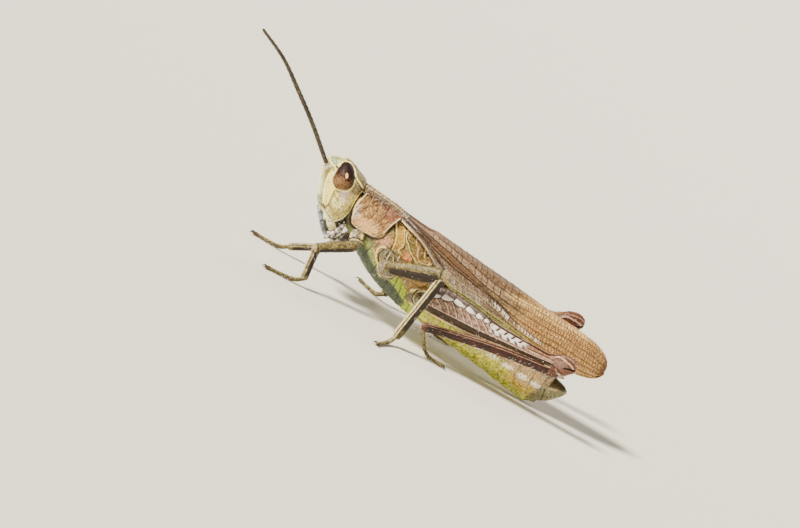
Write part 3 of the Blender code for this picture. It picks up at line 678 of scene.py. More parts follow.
def makeEyeMaterial():
    material, tree = newMaterial("compoundEyeLens")
    place = addNode(tree, "TexCoord").outputs["Object"]
    rise = addNode(tree, "Attribute", attribute_name="rise").outputs["Fac"]
    cloud = addNode(tree, "TexNoise", {"Scale": 1000 / eyeLook["mottle"], "Detail": 3.0, "Roughness": 0.62},
                    {"Vector": place})
    wave = addNode(tree, "Math", {1: 0.5}, {0: cloud}, operation="SUBTRACT")
    moved = addNode(tree, "Math", {1: 1.1}, {0: wave, 2: rise}, operation="MULTIPLY_ADD")
    ramp = addNode(tree, "ValToRGB", links={"Fac": moved})
    fillRamp(ramp, (0.02, 0.2, 0.36, 0.52, 0.8), eyeLook["footToCrown"])
    # painted highlight: a pale spot mixed into the eye's colour
    shine = addNode(tree, "Attribute", attribute_name="paintedEyeHighlight").outputs["Fac"]
    share = addNode(tree, "Math", {1: 1.6}, {0: shine}, operation="MULTIPLY", use_clamp=True)
    toned = addNode(tree, "Mix", {7: hexColour(eyeLook["pale"])}, {0: share, 6: ramp}, data_type="RGBA").outputs[2]
    flecks = addNode(tree, "TexVoronoi", {"Scale": 1000 / eyeLook["fleckGap"]}, {"Vector": place})
    fleckMask = addNode(tree, "MapRange", {"From Min": 0.15, "From Max": 0.5, "To Min": 0.9, "To Max": 0.0},
                        {"Value": flecks})
    colour = addNode(tree, "Mix", {7: hexColour(eyeLook["fleck"])}, {0: fleckMask, 6: toned},
                     data_type="RGBA").outputs[2]
    facets = addNode(tree, "TexVoronoi", {"Scale": 1000 / eyeLook["facet"], "Randomness": 0.35}, {"Vector": place})
    bump = addNode(tree, "Bump", {"Strength": 0.8, "Distance": 0.0000025}, {"Height": facets}, invert=True)
    shader = addNode(tree, "BsdfPrincipled",
                     {"Roughness": 0.6, "IOR": 1.28, "Coat Weight": 0.02, "Coat Roughness": 0.2},
                     {"Base Color": colour, "Normal": bump})
    addNode(tree, "OutputMaterial", links={"Surface": shader})
    return material


def makeEyes():
    material = makeEyeMaterial()
    polar = np.linspace(0, math.pi, eyeLook["levels"] + 2)[1:-1][:, None]
    turn = np.linspace(0, 2 * math.pi, eyeLook["around"], endpoint=False)[None]
    power = np.where(np.cos(polar) < 0, eyeShape["foot"], eyeShape["crown"])
    rise = np.sign(np.cos(polar)) * np.abs(np.cos(polar)) ** (2 / power)
    across = np.sin(polar) ** (2 / power) * eyeBroad(rise)
    ball = np.stack([across * np.cos(turn) + eyeForward(rise), across * np.sin(turn), rise + 0 * turn], 2)
    for word, side in (("left", -1), ("right", 1)):
        local = ball * np.array(eyeShape["half"])
        middle = np.array(eyeShape["centre"]) * (1, side, 1)
        rings = local @ np.array(eyeTurn(side)).T + middle
        rise = 0.5 + ball[:, :, 2] * 0.42 + 0.12 * ball[:, :, 0]
        # painted highlight: a pale spot on the outer side of each eye
        spot = (patch(ball[:, :, 0], ball[:, :, 2], (-0.12, -0.12), (0.13, 0.2), 12, 0.3)
                * (ball[:, :, 1] * side > 0))
        addShell("compound_eye_" + word, [(rings, {"rise": rise, "paintedEyeHighlight": spot})], material,
                 ["eye_" + word])


makeEyes()
print("eyes: done")

labrumLook = {  # thin, bluish cuticle over muscle: smooth, a little waxy
    "mottle": 0.22, "ground": ("#596270", "#838b98", "#b4bac6"),
    "layers": [("cream", "#eef1ea", 0.9, 0.2), ("darkLine", "#17130d", 0.97, 0.2),
               ("dots:dotted:0.12", "#57564c", 0.6, 0)],
    "gloss": (0.3, 0.45), "coat": 0.1,
}
jawLook = {  # thick tanned cuticle, cream outside and black along the biting edge
    "mottle": 0.2, "ground": ("#dcd488", "#f8f2b4", "#ffffd6"),
    "layers": [("dots:dotted:0.18", "#6f6b35", 0.85, 0), ("darkLine", "#15100b", 0.97, 0.15)],
    "gloss": (0.28, 0.42), "coat": 0.12,
}
palpLook = {  # soft jointed feelers, pale with black mottles
    "mottle": 0.18, "ground": ("#1a1410", "#8c8078", "#f6eee8"),
    "layers": [("darkLine", "#1a1410", 0.85, 0.3), ("cream", "#f0e8e0", 0.6, 0.3)],
    "gloss": (0.35, 0.5), "ragged": 0.06,
}
mouthSize = {
    "labrum": [(0, 0.2, 0.14, 0.42, 3.4), (0.3, 0.25, 0.12, 0.46, 3.4), (0.7, 0.26, 0.07, 0.44, 3.2),
               (0.93, 0.2, 0.05, 0.36, 2.6), (1, 0.12, 0.04, 0.22, 2)],
    "labium": [(0, 0.3, 0.24, 0.52, 2.4), (0.5, 0.42, 0.26, 0.66, 2.4), (1, 0.2, 0.18, 0.44, 2)],
    "mandible": [(0, 0.08, 0.08, 0.12, 2.2), (0.15, 0.15, 0.13, 0.18, 2.2), (0.4, 0.32, 0.21, 0.26, 2.3),
                 (0.7, 0.5, 0.27, 0.3, 2.3), (0.9, 0.52, 0.25, 0.26, 2.2), (1, 0.34, 0.15, 0.15, 2)],
    "palpRadius": 0.135, "labrumMesh": (90, 96), "labiumMesh": (60, 96), "mandibleMesh": (90, 90),
}


def makeMouth():
    labrumPaint = cuticle("bluishLabrumCuticle", labrumLook)
    jawPaint = cuticle("tannedMandibleCuticle", jawLook)
    palpPaint = cuticle("mottledPalpCuticle", palpLook)

    rings, share, high, out = limbRings((-1.32, 0, -2.7), (0, 0, -3.9), (-0.7, 0, -0.7), mouthSize["labrum"],
                                        *mouthSize["labrumMesh"])
    y = rings[:, :, 1]
    bands = near(share, 0.17, 0.018) + near(share, 0.44, 0.02)
    cleft = near(y, 0, 0.03) * fade(share, 0.75, 0.9)
    height = -0.03 * bands - 0.05 * cleft + 0.015 * near(np.abs(out), 0.75, 0.1)
    masks = {"darkLine": unit(bands + cleft + fade(-high, 0.45, 0.65)),
             "cream": patch(share, out, (0.7, -0.5), (0.24, 0.14)), "dotted": fade(share, 0, 0.1)}
    addShell("upper_lip", [domed(raised(rings, height), 0.04, 0.05, masks)], labrumPaint, ["labrum"])

    rings, share, high, out = limbRings((0.1, 0, -2.7), (0.34, 0, -3.72), (-1, 0, -0.2), mouthSize["labium"],
                                        *mouthSize["labiumMesh"])
    cleft = near(out, 0, 0.07) * fade(share, 0.35, 0.6)
    height = -0.05 * cleft - 0.02 * near(share, 0.4, 0.03)
    masks = {"darkLine": unit(cleft + fade(share, 0.2, 0.9) * 0.3),
             "cream": patch(share, out, (0.6, 0.5), (0.3, 0.2))}
    shells = [domed(raised(rings, height), 0.03, 0.05, masks)]
    for side in (-1, 1):  # short labial palps
        path = [(0.62, side * 0.5, -3.2), (0.64, side * 0.6, -3.5), (0.44, side * 0.6, -3.74),
                (0.22, side * 0.5, -3.86)]
        shells.append(palpShell(path, 0.095, 3))
    addShell("lower_lip", shells, palpPaint, ["labium"])

    for word, side in (("left", -1), ("right", 1)):
        start = (-1.16, side * 0.72, -2.54)
        rings, share, high, out = limbRings(start, (0.02, side * 0.62, -3.27), (-1, 0, -0.9),
                                            mouthSize["mandible"], *mouthSize["mandibleMesh"])
        edge = unit(fade(high, 0.4, 0.52) * fade(share, 0.28, 0.5) + fade(-high, 0.84, 0.95)
                    + fade(share, 0.95, 0.99))
        height = -0.012 * edge + 0.006 * lumps(*axes(rings), 0.2, 8)
        masks = {"dotted": 1 - edge, "darkLine": edge}
        addShell("jaw_" + word, [domed(raised(rings, height), 0.05, 0.06, masks)], jawPaint,
                 ["mandible_" + word])
        path = [(0.34, side * 0.66, -2.66), (0.24, side * 0.82, -3.05), (0.08, side * 0.8, -3.5),
                (-0.08, side * 0.7, -3.93)]
        addShell("jaw_palp_" + word, [palpShell(path, mouthSize["palpRadius"], 4)], palpPaint,
                 ["palp_" + word])


def palpShell(path, radius, joints):  # a jointed palp, each segment swelling toward its far end
    radii = [(0, radius), (0.8, radius * 1.05), (1, radius * 0.9)]
    rings, share = tubeRings(path, radii, joints * 22, 26)[:2]
    inSegment = (share * joints) % 1.0
    height = radius * (0.34 * np.sin(inSegment * math.pi) ** 0.6 - 0.26)
    joint = unit(fade(np.abs(inSegment - 0.5), 0.38, 0.5) * (share > 0.06) * (share < 0.97))
    masks = {"darkLine": joint, "cream": near(inSegment, 0.6, 0.2)}
    return domed(raised(rings, height), radius * 0.5, radius * 0.8, masks)


makeMouth()
print("mouthparts: done")

feelerLook = {
    "segments": 24, "radius": 0.135, "tip": 0.085, "neck": 0.8,  # neck: how far each segment narrows at its joint
    "around": 14, "perSegment": 8,
    "left": [(-2.62, -0.43, -0.36), (-2.9, -0.5, -0.21), (-4.8, -0.68, 1.1), (-6.67, -0.84, 2.23),
             (-8.44, -0.95, 3.23), (-10.37, -1.03, 3.91)],
    "right": [(-2.5, 0.4, -0.49), (-2.71, 0.44, -0.41), (-4.52, 0.66, 0.81), (-6.32, 0.82, 1.87),
              (-8.05, 0.95, 2.82), (-9.94, 1.05, 3.46)],
    "socket": {"left": (-2.3, -0.34, -0.6), "right": (-2.27, 0.34, -0.6)},
    "base": [(0, 0.13), (0.25, 0.19), (0.55, 0.18), (0.68, 0.12), (0.84, 0.15), (1, 0.11)],  # share and radius
    "baseMesh": (60, 30),
}
feelerPaint = {  # slender tanned cuticle rings, dull from a fine pile
    "mottle": 0.3, "ground": ("#2b251a", "#3f3727", "#544a35"),
    "layers": [("joint", "#241a10", 0.7, 0.2), ("paleRing", "#8a7a5a", 0.5, 0.4)],
    "gloss": (0.42, 0.6),
}
scapePaint = {  # the swollen base segments, pinkish and pale
    "mottle": 0.2, "ground": ("#a08c86", "#c9b7ae", "#e3d6cd"),
    "layers": [("darkLine", "#4c4038", 0.8, 0.3)], "gloss": (0.35, 0.5), "coat": 0.05,
}


def pathMesh(name, points):
    mesh = bpy.data.meshes.new(name)
    edges = [(k, k + 1) for k in range(len(points) - 1)]
    mesh.from_pydata([tuple(p) for p in toWorld(points)], edges, [])
    return mesh


def startTree(name, inputs):  # a geometry tree with its named inputs
    tree = bpy.data.node_groups.new(name, "GeometryNodeTree")
    names = {}
    for key, kind in inputs:
        names[key] = tree.interface.new_socket(name=key, in_out="INPUT", socket_type="NodeSocket" + kind)
    tree.interface.new_socket(name="Geometry", in_out="OUTPUT", socket_type="NodeSocketGeometry")
    return tree, names, addNode(tree, "NodeGroupInput").outputs


def endTree(tree, given, made):  # smooth, real and painted
    smooth = addNode(tree, "GeometryNodeSetShadeSmooth", links={"Geometry": made})
    real = addNode(tree, "GeometryNodeRealizeInstances", links={"Geometry": smooth})
    painted = addNode(tree, "GeometryNodeSetMaterial", links={"Geometry": real, "Material": given["Material"]})
    addNode(tree, "NodeGroupOutput", links={"Geometry": painted})


def feelerTree():  # rings of a feeler: a round profile swept on the path, narrowed at every joint
    tree, names, given = startTree("ringedFeeler", [
        ("Path", "Geometry"), ("Segments", "Int"), ("Rings per segment", "Int"), ("Around", "Int"),
        ("Radius", "Float"), ("Tip radius", "Float"), ("Neck", "Float"), ("Material", "Material")])
    curve = addNode(tree, "GeometryNodeMeshToCurve", links={"Mesh": given["Path"]})
    rings = addNode(tree, "Math", links={0: given["Segments"], 1: given["Rings per segment"]},
                    operation="MULTIPLY")
    even = addNode(tree, "GeometryNodeResampleCurve", links={"Curve": curve, "Count": rings})
    along = addNode(tree, "GeometryNodeSplineParameter").outputs["Factor"]
    turns = addNode(tree, "Math", links={0: along, 1: given["Segments"]}, operation="MULTIPLY")
    inSegment = addNode(tree, "Math", {1: 1.0}, {0: turns}, operation="FRACT")
    fromMiddle = addNode(tree, "Math", {1: 0.5}, {0: inSegment}, operation="SUBTRACT")
    away = addNode(tree, "Math", links={0: fromMiddle}, operation="ABSOLUTE")
    pinch = addNode(tree, "MapRange", {"From Min": 0.3, "From Max": 0.5, "To Min": 0.0, "To Max": 1.0},
                    {"Value": away}, interpolation_type="SMOOTHSTEP")
    waist = addNode(tree, "MapRange", {"From Min": 0.0, "From Max": 1.0, "To Min": 1.0},
                    {"Value": pinch, "To Max": given["Neck"]})
    taper = addNode(tree, "MapRange", {"From Min": 0.55, "From Max": 1.0},
                    {"Value": along, "To Min": given["Radius"], "To Max": given["Tip radius"]})
    radius = addNode(tree, "Math", links={0: taper, 1: waist}, operation="MULTIPLY").outputs[0]
    sized = addNode(tree, "GeometryNodeSetCurveRadius", links={"Curve": even, "Radius": radius})
    marked = addNode(tree, "GeometryNodeStoreNamedAttribute", {"Name": "joint"},
                     {"Geometry": sized, "Value": pinch}, data_type="FLOAT", domain="POINT")
    profile = addNode(tree, "GeometryNodeCurvePrimitiveCircle", {"Radius": 1.0}, {"Resolution": given["Around"]})
    swept = addNode(tree, "GeometryNodeCurveToMesh", {"Fill Caps": True},
                    {"Curve": marked, "Profile Curve": profile})
    if "Scale" in swept.inputs:
        tree.links.new(radius, swept.inputs["Scale"])
    endTree(tree, given, swept)
    return tree, names


def grow(name, mesh, tree, names, settings):  # runs a geometry tree on a mesh, and gives the finished plain mesh
    host = linked(name + "_host", mesh)
    modifier = host.modifiers.new("grow", "NODES")
    modifier.node_group = tree
    for key, value in settings.items():
        modifier[names[key].identifier] = value
    bpy.context.view_layer.update()
    graph = bpy.context.evaluated_depsgraph_get()
    made = bpy.data.meshes.new_from_object(host.evaluated_get(graph), preserve_all_data_layers=True,
                                           depsgraph=graph)
    host.modifiers.clear()
    bpy.data.objects.remove(host)
    made.name = name
    return made


def makeFeelers():
    tree, names = feelerTree()
    paint = cuticle("tannedFeelerCuticle", feelerPaint)
    pale = cuticle("paleScapeCuticle", scapePaint)
    for word in ("left", "right"):
        points = smoothPath(feelerLook[word], 60)
        settings = {"Segments": feelerLook["segments"], "Rings per segment": feelerLook["perSegment"],
                    "Around": feelerLook["around"], "Radius": feelerLook["radius"] * 0.001,
                    "Tip radius": feelerLook["tip"] * 0.001, "Neck": feelerLook["neck"], "Material": paint}
        mesh = grow("ringed_feeler_" + word, pathMesh("feelerPath", points), tree, names, settings)
        addPiece("ringed_feeler_" + word, mesh, paint, ["antenna_" + word])
        socket = np.array(feelerLook["socket"][word])
        start = np.array(feelerLook[word][0])
        path = [socket, (socket + start) / 2, start + (start - socket) * 0.15]
        rings, share = tubeRings(path, feelerLook["base"], *feelerLook["baseMesh"])[:2]
        addShell("feeler_base_" + word, [domed(rings, 0.03, 0.04, {"darkLine": near(share, 0.68, 0.04)})], pale)


makeFeelers()
print("feelers: done")

pronotumLook = {  # thick tanned shield, finely wrinkled and pitted, nearly matt
    "mottle": 0.22, "ground": ("#65482a", "#987444", "#c89c5a"),
    "layers": [
        ("frontPale", "#8d8690", 0.9, 0.5),
        ("dorsal", "#46331e", 0.9, 0.4),
        ("net:lobe:0.16", "#7a4c28", 0.6, 0),
        ("dots:lobe:0.19", "#f6c878", 0.8, 0),
        ("lobeLow", "#ffc880", 0.85, 1.0),
        ("rearBrown", "#7d4a34", 0.8, 0.6),
        ("frontStripe", "#ece6dc", 0.9, 0.5),
        ("whiteBlob", "#e8ddd0", 0.7, 0.6),
        ("darkLine", "#20140a", 0.95, 0.3),
        ("cream", "#f3dc9c", 0.95, 0.3),
    ],
    "gloss": (0.38, 0.58), "coat": 0.04, "ragged": 0.08,
}
pronotumSize = {"levels": 150, "around": 300, "widen": 1.25, "carina": 0.04}
pronotumStations = [  # x, half width, top, widest height, low, top power, low power, lean
    (0.06, 0.84, -0.13, -0.9, -1.3, 3.0, 3.0, 0.08), (0.1, 0.87, -0.12, -1.0, -1.8, 3.0, 4.0, 0.08),
    (0.22, 0.89, -0.12, -1.1, -2.12, 3.0, 5.0, 0.1), (0.42, 0.91, -0.11, -1.2, -2.33, 3.0, 6.0, 0.12),
    (0.75, 0.92, -0.11, -1.2, -2.41, 3.0, 6.0, 0.12), (1.25, 0.94, -0.11, -1.2, -2.42, 3.0, 6.0, 0.1),
    (1.8, 0.96, -0.1, -1.1, -2.33, 3.0, 6.0, 0.04), (2.25, 0.99, -0.1, -1.0, -2.14, 3.0, 5.0, -0.04),
    (2.6, 1.0, -0.13, -0.9, -1.84, 3.0, 3.6, -0.12), (2.76, 0.99, -0.15, -0.76, -1.38, 3.0, 2.6, -0.21),
    (2.9, 0.95, -0.18, -0.58, -0.95, 3.6, 2.5, -0.32), (3.15, 0.8, -0.22, -0.44, -0.6, 3.0, 2.4, -0.42),
]
sulcusLines = [  # cross furrows on the sides
    [(0.62, -0.25), (0.7, -0.8), (0.62, -1.3)], [(1.22, -0.2), (1.3, -0.9), (1.22, -1.6)],
    [(1.8, 0.1), (1.86, -0.6), (1.8, -1.25), (1.55, -1.75)],
]
lobeEdge = {  # the outline of the side lobe: (x, z) below, then (z, x) behind and in front
    "low": [(0.0, -1.2), (0.23, -1.68), (0.4, -2.01), (0.59, -2.26), (0.77, -2.34), (1.4, -2.3), (2.0, -2.17),
            (2.24, -2.03), (2.5, -1.6)],
    "rear": [(-2.3, 1.9), (-2.03, 2.24), (-1.81, 2.39), (-1.39, 2.43), (-0.94, 2.49), (-0.46, 2.64),
             (-0.18, 2.78)],
    "front": [(-2.29, 0.6), (-2.01, 0.38), (-1.68, 0.21), (-1.3, 0.12), (-0.85, 0.11), (-0.4, 0.16)],
}


def makePronotum():
    rings = bodyRings(pronotumStations, pronotumSize["widen"], pronotumSize["levels"], pronotumSize["around"])
    rings = roundEnds(rings, 0.03, 0.06)
    x, y, z = axes(rings)
    side = np.abs(y)
    upper = z > -0.7
    # side keels curve inward to their closest at a third of the way back
    keelSide = np.interp(x, [-0.2, 0.3, 1.2, 1.8, 3.2], [0.42, 0.38, 0.31, 0.36, 0.56])
    keel = near(side, keelSide, 0.035) * upper * (z > -0.45)
    middle = near(y, 0, 0.04) * upper
    sulci = strongest(stroke(x, z, line, 0.055) * (side > 0.3) for line in sulcusLines)
    sulci = np.maximum(sulci, near(x, 1.8, 0.045) * upper)
    inset = [z - np.interp(x, *zip(*lobeEdge["low"])), np.interp(z, *zip(*lobeEdge["rear"])) - x,
             x - np.interp(z, *zip(*lobeEdge["front"]))]
    inset = np.where(z < -0.35, np.minimum(np.minimum(inset[0], inset[1]), inset[2]), 9.0)
    rimPale = near(inset, 0.05, 0.035) * (side > 0.5)
    rimDark = (1 - fade(inset, -0.02, 0.02)) * (side > 0.5)
    dorsal = fade(z + 0.14 * lumps(x, y, z, 0.3, 14), -0.62, -0.4) * fade(side - keelSide, -0.02, 0.05)
    lobe = (1 - fade(z, -0.5, -0.3)) * fade(x, 0.15, 0.6)
    frontRim = near(x, x[:1], 0.05) * 0.7
    height = (pronotumSize["carina"] * (keel + 0.4 * middle) - 0.04 * sulci + 0.05 * rimPale - 0.03 * rimDark
              + 0.02 * frontRim + 0.01 * lumps(x, y, z, 0.26, 11) + 0.008 * lumps(x, y, z, 0.13, 12))
    masks = {
        "cream": unit(keel + rimPale + 0.35 * middle), "darkLine": unit(rimDark + 0.4 * sulci),
        "dorsal": unit(dorsal + (1 - fade(side - keelSide, -0.12, -0.04)) * upper), "lobe": lobe,
        "frontPale": patch(x, z, (0.28, -1.75), (0.24, 0.75), 12) * (side > 0.5),
        "frontStripe": stroke(x, z, [(0.3, -1.1), (0.3, -1.6), (0.42, -2.05)], 0.05) * (side > 0.5),
        "lobeLow": patch(x, z, (1.38, -1.9), (0.78, 0.4), 0, 0.9),
        "rearBrown": patch(x, z, (2.15, -0.55), (0.6, 0.35), 0, 0.6),
        "whiteBlob": patch(x, z, (0.6, -1.62), (0.13, 0.1), 0, 0.6),
    }
    scatterHairs("back", rings, z > -0.6, (0.25, 0, 0), radius=0.01)
    scatterHairs("lobe", rings, lobe, (0.5, 0, -0.3))
    addShell("pronotum_shield", [(raised(rings, height), masks)], cuticle("wrinkledPronotumCuticle", pronotumLook),
             ["pronotum"])


makePronotum()
print("pronotum: done")

thoraxLook = {  # joined side plates and breast plate: satin, tan above, green below
    "mottle": 0.24, "ground": ("#604d24", "#96793c", "#b99a52"),
    "layers": [
        ("brownPlate", "#6a5226", 0.8, 0.6),
        ("olivePlate", "#5f5a2a", 0.75, 0.6),
        ("yellowPlate", "#bf9430", 0.85, 0.6),
        ("pinkPlate", "#c08a62", 0.8, 0.7),
        ("greyPlate", "#6f6a56", 0.92, 0.6),
        ("orange", "#ea9a62", 0.9, 0.8),
        ("green", "#7f8f48", 0.95, 0.4),
        # painted shade on the underside of the breast plates
        ("deepGreen", "#26382a", 0.92, 0.5),
        ("lime", "#a4b81c", 0.97, 0.3),
        ("dots:greyPlate:0.2", "#26221a", 0.85, 0),
        ("mark", "#b8ac8e", 0.85, 0.6),
        ("darkLine", "#1a1208", 0.95, 0.25),
        ("pinkRidge", "#dcae84", 0.9, 0.3),
        ("cream", "#ecd684", 0.95, 0.3),
    ],
    "gloss": (0.34, 0.52), "coat": 0.05, "ragged": 0.08,
}
thoraxSize = {"levels": 230, "around": 280, "widen": 1.45}
thoraxStations = [
    (0.1, 0.48, -0.5, -1.5, -2.4, 2.2, 2.2, 0), (0.5, 0.52, -0.5, -1.6, -2.8, 2.3, 2.3, 0),
    (1.2, 0.6, -0.5, -1.7, -3.16, 2.4, 2.4, 0), (2.1, 0.71, -0.4, -1.8, -3.74, 2.6, 2.6, 0),
    (2.6, 0.86, -0.35, -1.9, -3.98, 2.6, 2.7, 0),
    (3.2, 0.98, -0.3, -2.0, -4.22, 2.7, 2.8, 0), (4.6, 1.0, -0.25, -2.2, -4.6, 2.7, 2.9, 0),
    (6.0, 0.97, -0.3, -2.4, -4.84, 2.6, 2.8, 0), (7.0, 0.9, -0.5, -2.6, -4.92, 2.5, 2.6, 0),
]
sideRidges = [  # thin raised rims of the side plates and how wide each is
    ([(2.68, -0.79), (3.03, -1.26), (3.23, -1.68), (3.34, -2.08)], 0.045),
    ([(3.25, -0.76), (3.48, -1.11), (3.72, -1.51), (3.62, -1.78), (3.71, -1.96), (3.98, -2.0)], 0.05),
    ([(3.46, -0.85), (3.61, -1.1), (3.93, -1.31), (4.28, -1.58), (4.78, -1.82), (5.02, -1.88)], 0.05),
    ([(4.88, -0.92), (4.99, -1.17), (5.13, -1.39)], 0.05),
    ([(5.28, -1.24), (5.53, -1.21), (5.69, -1.38), (5.58, -1.54), (5.17, -1.72), (4.94, -1.73)], 0.045),
    ([(2.95, -2.2), (2.78, -2.33), (2.68, -2.56), (2.8, -2.91), (3.07, -3.19), (3.46, -3.39), (3.84, -3.43),
      (4.29, -3.3)], 0.075),
    ([(3.91, -2.17), (3.97, -2.41)], 0.05), ([(3.65, -2.4), (3.83, -2.64)], 0.045),
    ([(3.36, -2.31), (3.44, -2.78), (3.64, -3.04)], 0.05),
]
sideGrooves = [
    ([(2.6, -0.84), (2.94, -1.3), (3.14, -1.72), (3.24, -2.08)], 0.04),
    ([(3.36, -0.8), (3.56, -1.14), (3.82, -1.56)], 0.05),
    ([(3.6, -0.96), (3.76, -1.14), (4.08, -1.36), (4.4, -1.68), (4.74, -1.92)], 0.045),
    ([(5.22, -1.12), (5.51, -1.17), (5.8, -1.3), (6.04, -1.32)], 0.07),
    ([(2.94, -2.42), (2.88, -2.75), (3.08, -3.05), (3.4, -3.24), (3.8, -3.28)], 0.06),
    ([(2.95, -2.12), (3.3, -2.14), (3.62, -2.22)], 0.04), ([(3.26, -2.31), (3.34, -2.78), (3.54, -3.06)], 0.04),
]
limeEdges = {"low": [(3.8, -3.62), (4.5, -3.69), (4.99, -3.82), (5.29, -4.01), (5.83, -4.2), (7.2, -4.8)],
             "high": [(3.6, -3.3), (4.3, -3.22), (4.77, -3.18), (5.37, -3.51), (5.81, -3.79), (7.2, -4.4)]}
shadedGreenEdge = [(0, -2.9), (2.0, -2.95), (2.8, -3.35), (3.6, -3.75), (4.4, -3.72), (7, -4.6)]  # painted shade: the green is darkened below it
lobeShadow = [(0.05, -1.3), (0.3, -2.0), (0.6, -2.4), (0.8, -2.47), (1.4, -2.44), (2.05, -2.3), (2.36, -2.1),
              (2.52, -1.8), (2.54, -1.4), (2.62, -0.95)]  # dark gap under the edge of the side lobe
# rings of the breast plates: x at the axis and how much each slants
bellyRows = [(2.3, 0.0), (3.35, 0.2), (4.35, 0.25), (4.85, 0.25), (5.3, 0.3), (5.75, 0.3), (6.15, 0.3), (6.8, 0.3)]


def makeThorax():
    rings = roundEnds(bodyRings(thoraxStations, thoraxSize["widen"], thoraxSize["levels"], thoraxSize["around"]),
                      0.05, 0.05)
    x, y, z = axes(rings)
    side = np.abs(y)
    flank = side > 0.35
    ridge, groove = (strongest(stroke(x, z, line, width) * flank for line, width in lines)
                     for lines in (sideRidges, sideGrooves))
    pink = stroke(x, z, [(4.08, -0.75), (4.3, -1.03), (4.49, -1.13), (4.74, -1.51), (4.92, -1.7)], 0.055) * flank
    breast = [(0, -2.6), (1.2, -2.55), (2.2, -2.45), (2.7, -3.0), (3.2, -3.4), (3.7, -3.5)]
    under = 1 - beyond(x, z, breast + limeEdges["high"][1:], 0.06)
    rows = strongest(near(x - at + slant * (z + 4.2), 0, 0.045) * under for at, slant in bellyRows)
    lime = under * fade(x, 3.9, 4.4) * beyond(x, z, limeEdges["low"], 0.06) + under * fade(x, 5.6, 6.2)
    # painted shade: the lower part of the breast plates is darkened
    plates = fade(-z, 0.3, 0.7) * (1 - under)
    shadedUnder = under * (1 - beyond(x, z, shadedGreenEdge, 0.15))
    height = (0.04 * ridge + 0.03 * pink - 0.045 * groove - 0.045 * rows + 0.01 * lumps(x, y, z, 0.3, 21)
              + 0.008 * lumps(x, y, z, 0.13, 22))
    # painted shade: the front of the thorax, where it runs in under the pronotum, is darkened
    front = 1 - fade(x, 0.4, 1.0)
    underLobe = stroke(x, z, lobeShadow, 0.1) * flank
    marks = fade(lumps(x, y, z, 0.42, 23), 0.45, 0.75) * patch(x, z, (5.7, -2.9), (1.0, 0.6), -20) * (1 - under)
    masks = {
        "cream": ridge, "pinkRidge": pink, "mark": marks,
        "darkLine": unit(groove + rows * 0.7 + front * 0.35 + underLobe * 0.9),
        "brownPlate": plates * unit(patch(x, z, (4.8, -1.2), (0.3, 0.5), 30)
                                    + patch(x, z, (5.6, -2.6), (1.3, 0.8), 0)),
        "olivePlate": plates * unit(patch(x, z, (4.15, -1.15), (0.32, 0.45), 30)
                                    + patch(x, z, (2.62, -1.2), (0.2, 0.7), 20)),
        "yellowPlate": plates * patch(x, z, (3.34, -1.38), (0.26, 0.6), 25),
        "pinkPlate": plates * patch(x, z, (2.78, -1.95), (0.34, 0.4), 20),
        "greyPlate": plates * unit(patch(x, z, (3.42, -2.55), (0.62, 0.5), 0)
                                   + patch(x, z, (0.9, -2.5), (1.5, 0.45), 0)),
        "orange": patch(x, z, (4.28, -1.92), (0.3, 0.24), 0, 0.7) * flank,
        "green": under, "lime": unit(lime), "deepGreen": unit(shadedUnder) * (1 - unit(lime)),
    }
    scatterHairs("thorax", rings, under + 0.3 * plates, (0.2, 0, -0.3))
    addShell("thorax_plates", [(raised(rings, height), masks)], cuticle("satinThoraxCuticle", thoraxLook),
             ["thorax"])


makeThorax()
print("thorax: done")

abdomenLook = {  # thin overlapping rings, waxy and a little wet looking
    "mottle": 0.24, "ground": ("#a2a41e", "#cfcf30", "#ece85c"),
    "layers": [
        # painted shadow cast by the hind thigh and shin on the upper abdomen
        ("back", "#3c2416", 0.96, 0.4),
        ("orange", "#cf9a30", 0.65, 0.7),
        ("tail", "#5e5839", 0.92, 0.5),
        ("tan", "#bd9a62", 0.85, 0.7),
        ("dots:belly:0.18", "#6a6a10", 0.55, 0),
        ("deepGreen", "#6f7c26", 0.35, 0.5),
        ("dots:flankSpots:0.24", "#6b4a28", 0.7, 0),
        # painted highlights: white shiny spots on the sides of the rings
        ("paintedHighlight", "#fffaf2", 1.0, 0.9),
        ("darkLine", "#2a210a", 0.9, 0.6),
        ("cream", "#d9cf94", 0.7, 0.4),
    ],
    "gloss": (0.24, 0.42), "coat": 0.15, "ragged": 0.11,
}
abdomenSize = {"levels": 260, "around": 240, "widen": 1.15, "step": 0.055}
abdomenStations = [
    (7.0, 1.1, -0.6, -2.6, -4.88, 2.4, 2.5, 0), (8.4, 1.06, -0.66, -2.8, -4.92, 2.3, 2.4, 0),
    (10.2, 1.0, -0.9, -3.0, -5.0, 2.2, 2.3, 0), (12.2, 0.92, -1.2, -3.15, -5.05, 2.2, 2.2, 0),
    (14.0, 0.82, -1.55, -3.2, -5.16, 2.1, 2.1, 0), (15.1, 0.7, -1.9, -3.2, -5.16, 2.1, 2.1, 0),
    (15.8, 0.5, -2.5, -3.2, -4.86, 2.0, 2.0, 0),
]
segmentEnds = [7.0, 8.2, 9.3, 10.4, 11.5, 12.6, 13.7, 14.7, 15.5, 16.4]
tailPlate = {"ends": [(15.35, 0, -3.86), (17.0, 0, -3.28)],
             "stations": [(0, 0.86, 1.0, 0.62, 2.1), (0.4, 0.78, 0.86, 0.56, 2.1), (0.75, 0.48, 0.5, 0.42, 2),
                          (0.94, 0.26, 0.27, 0.24, 2), (1, 0.12, 0.12, 0.12, 2)],
             "mesh": (90, 120), "cercusMesh": (40, 24)}


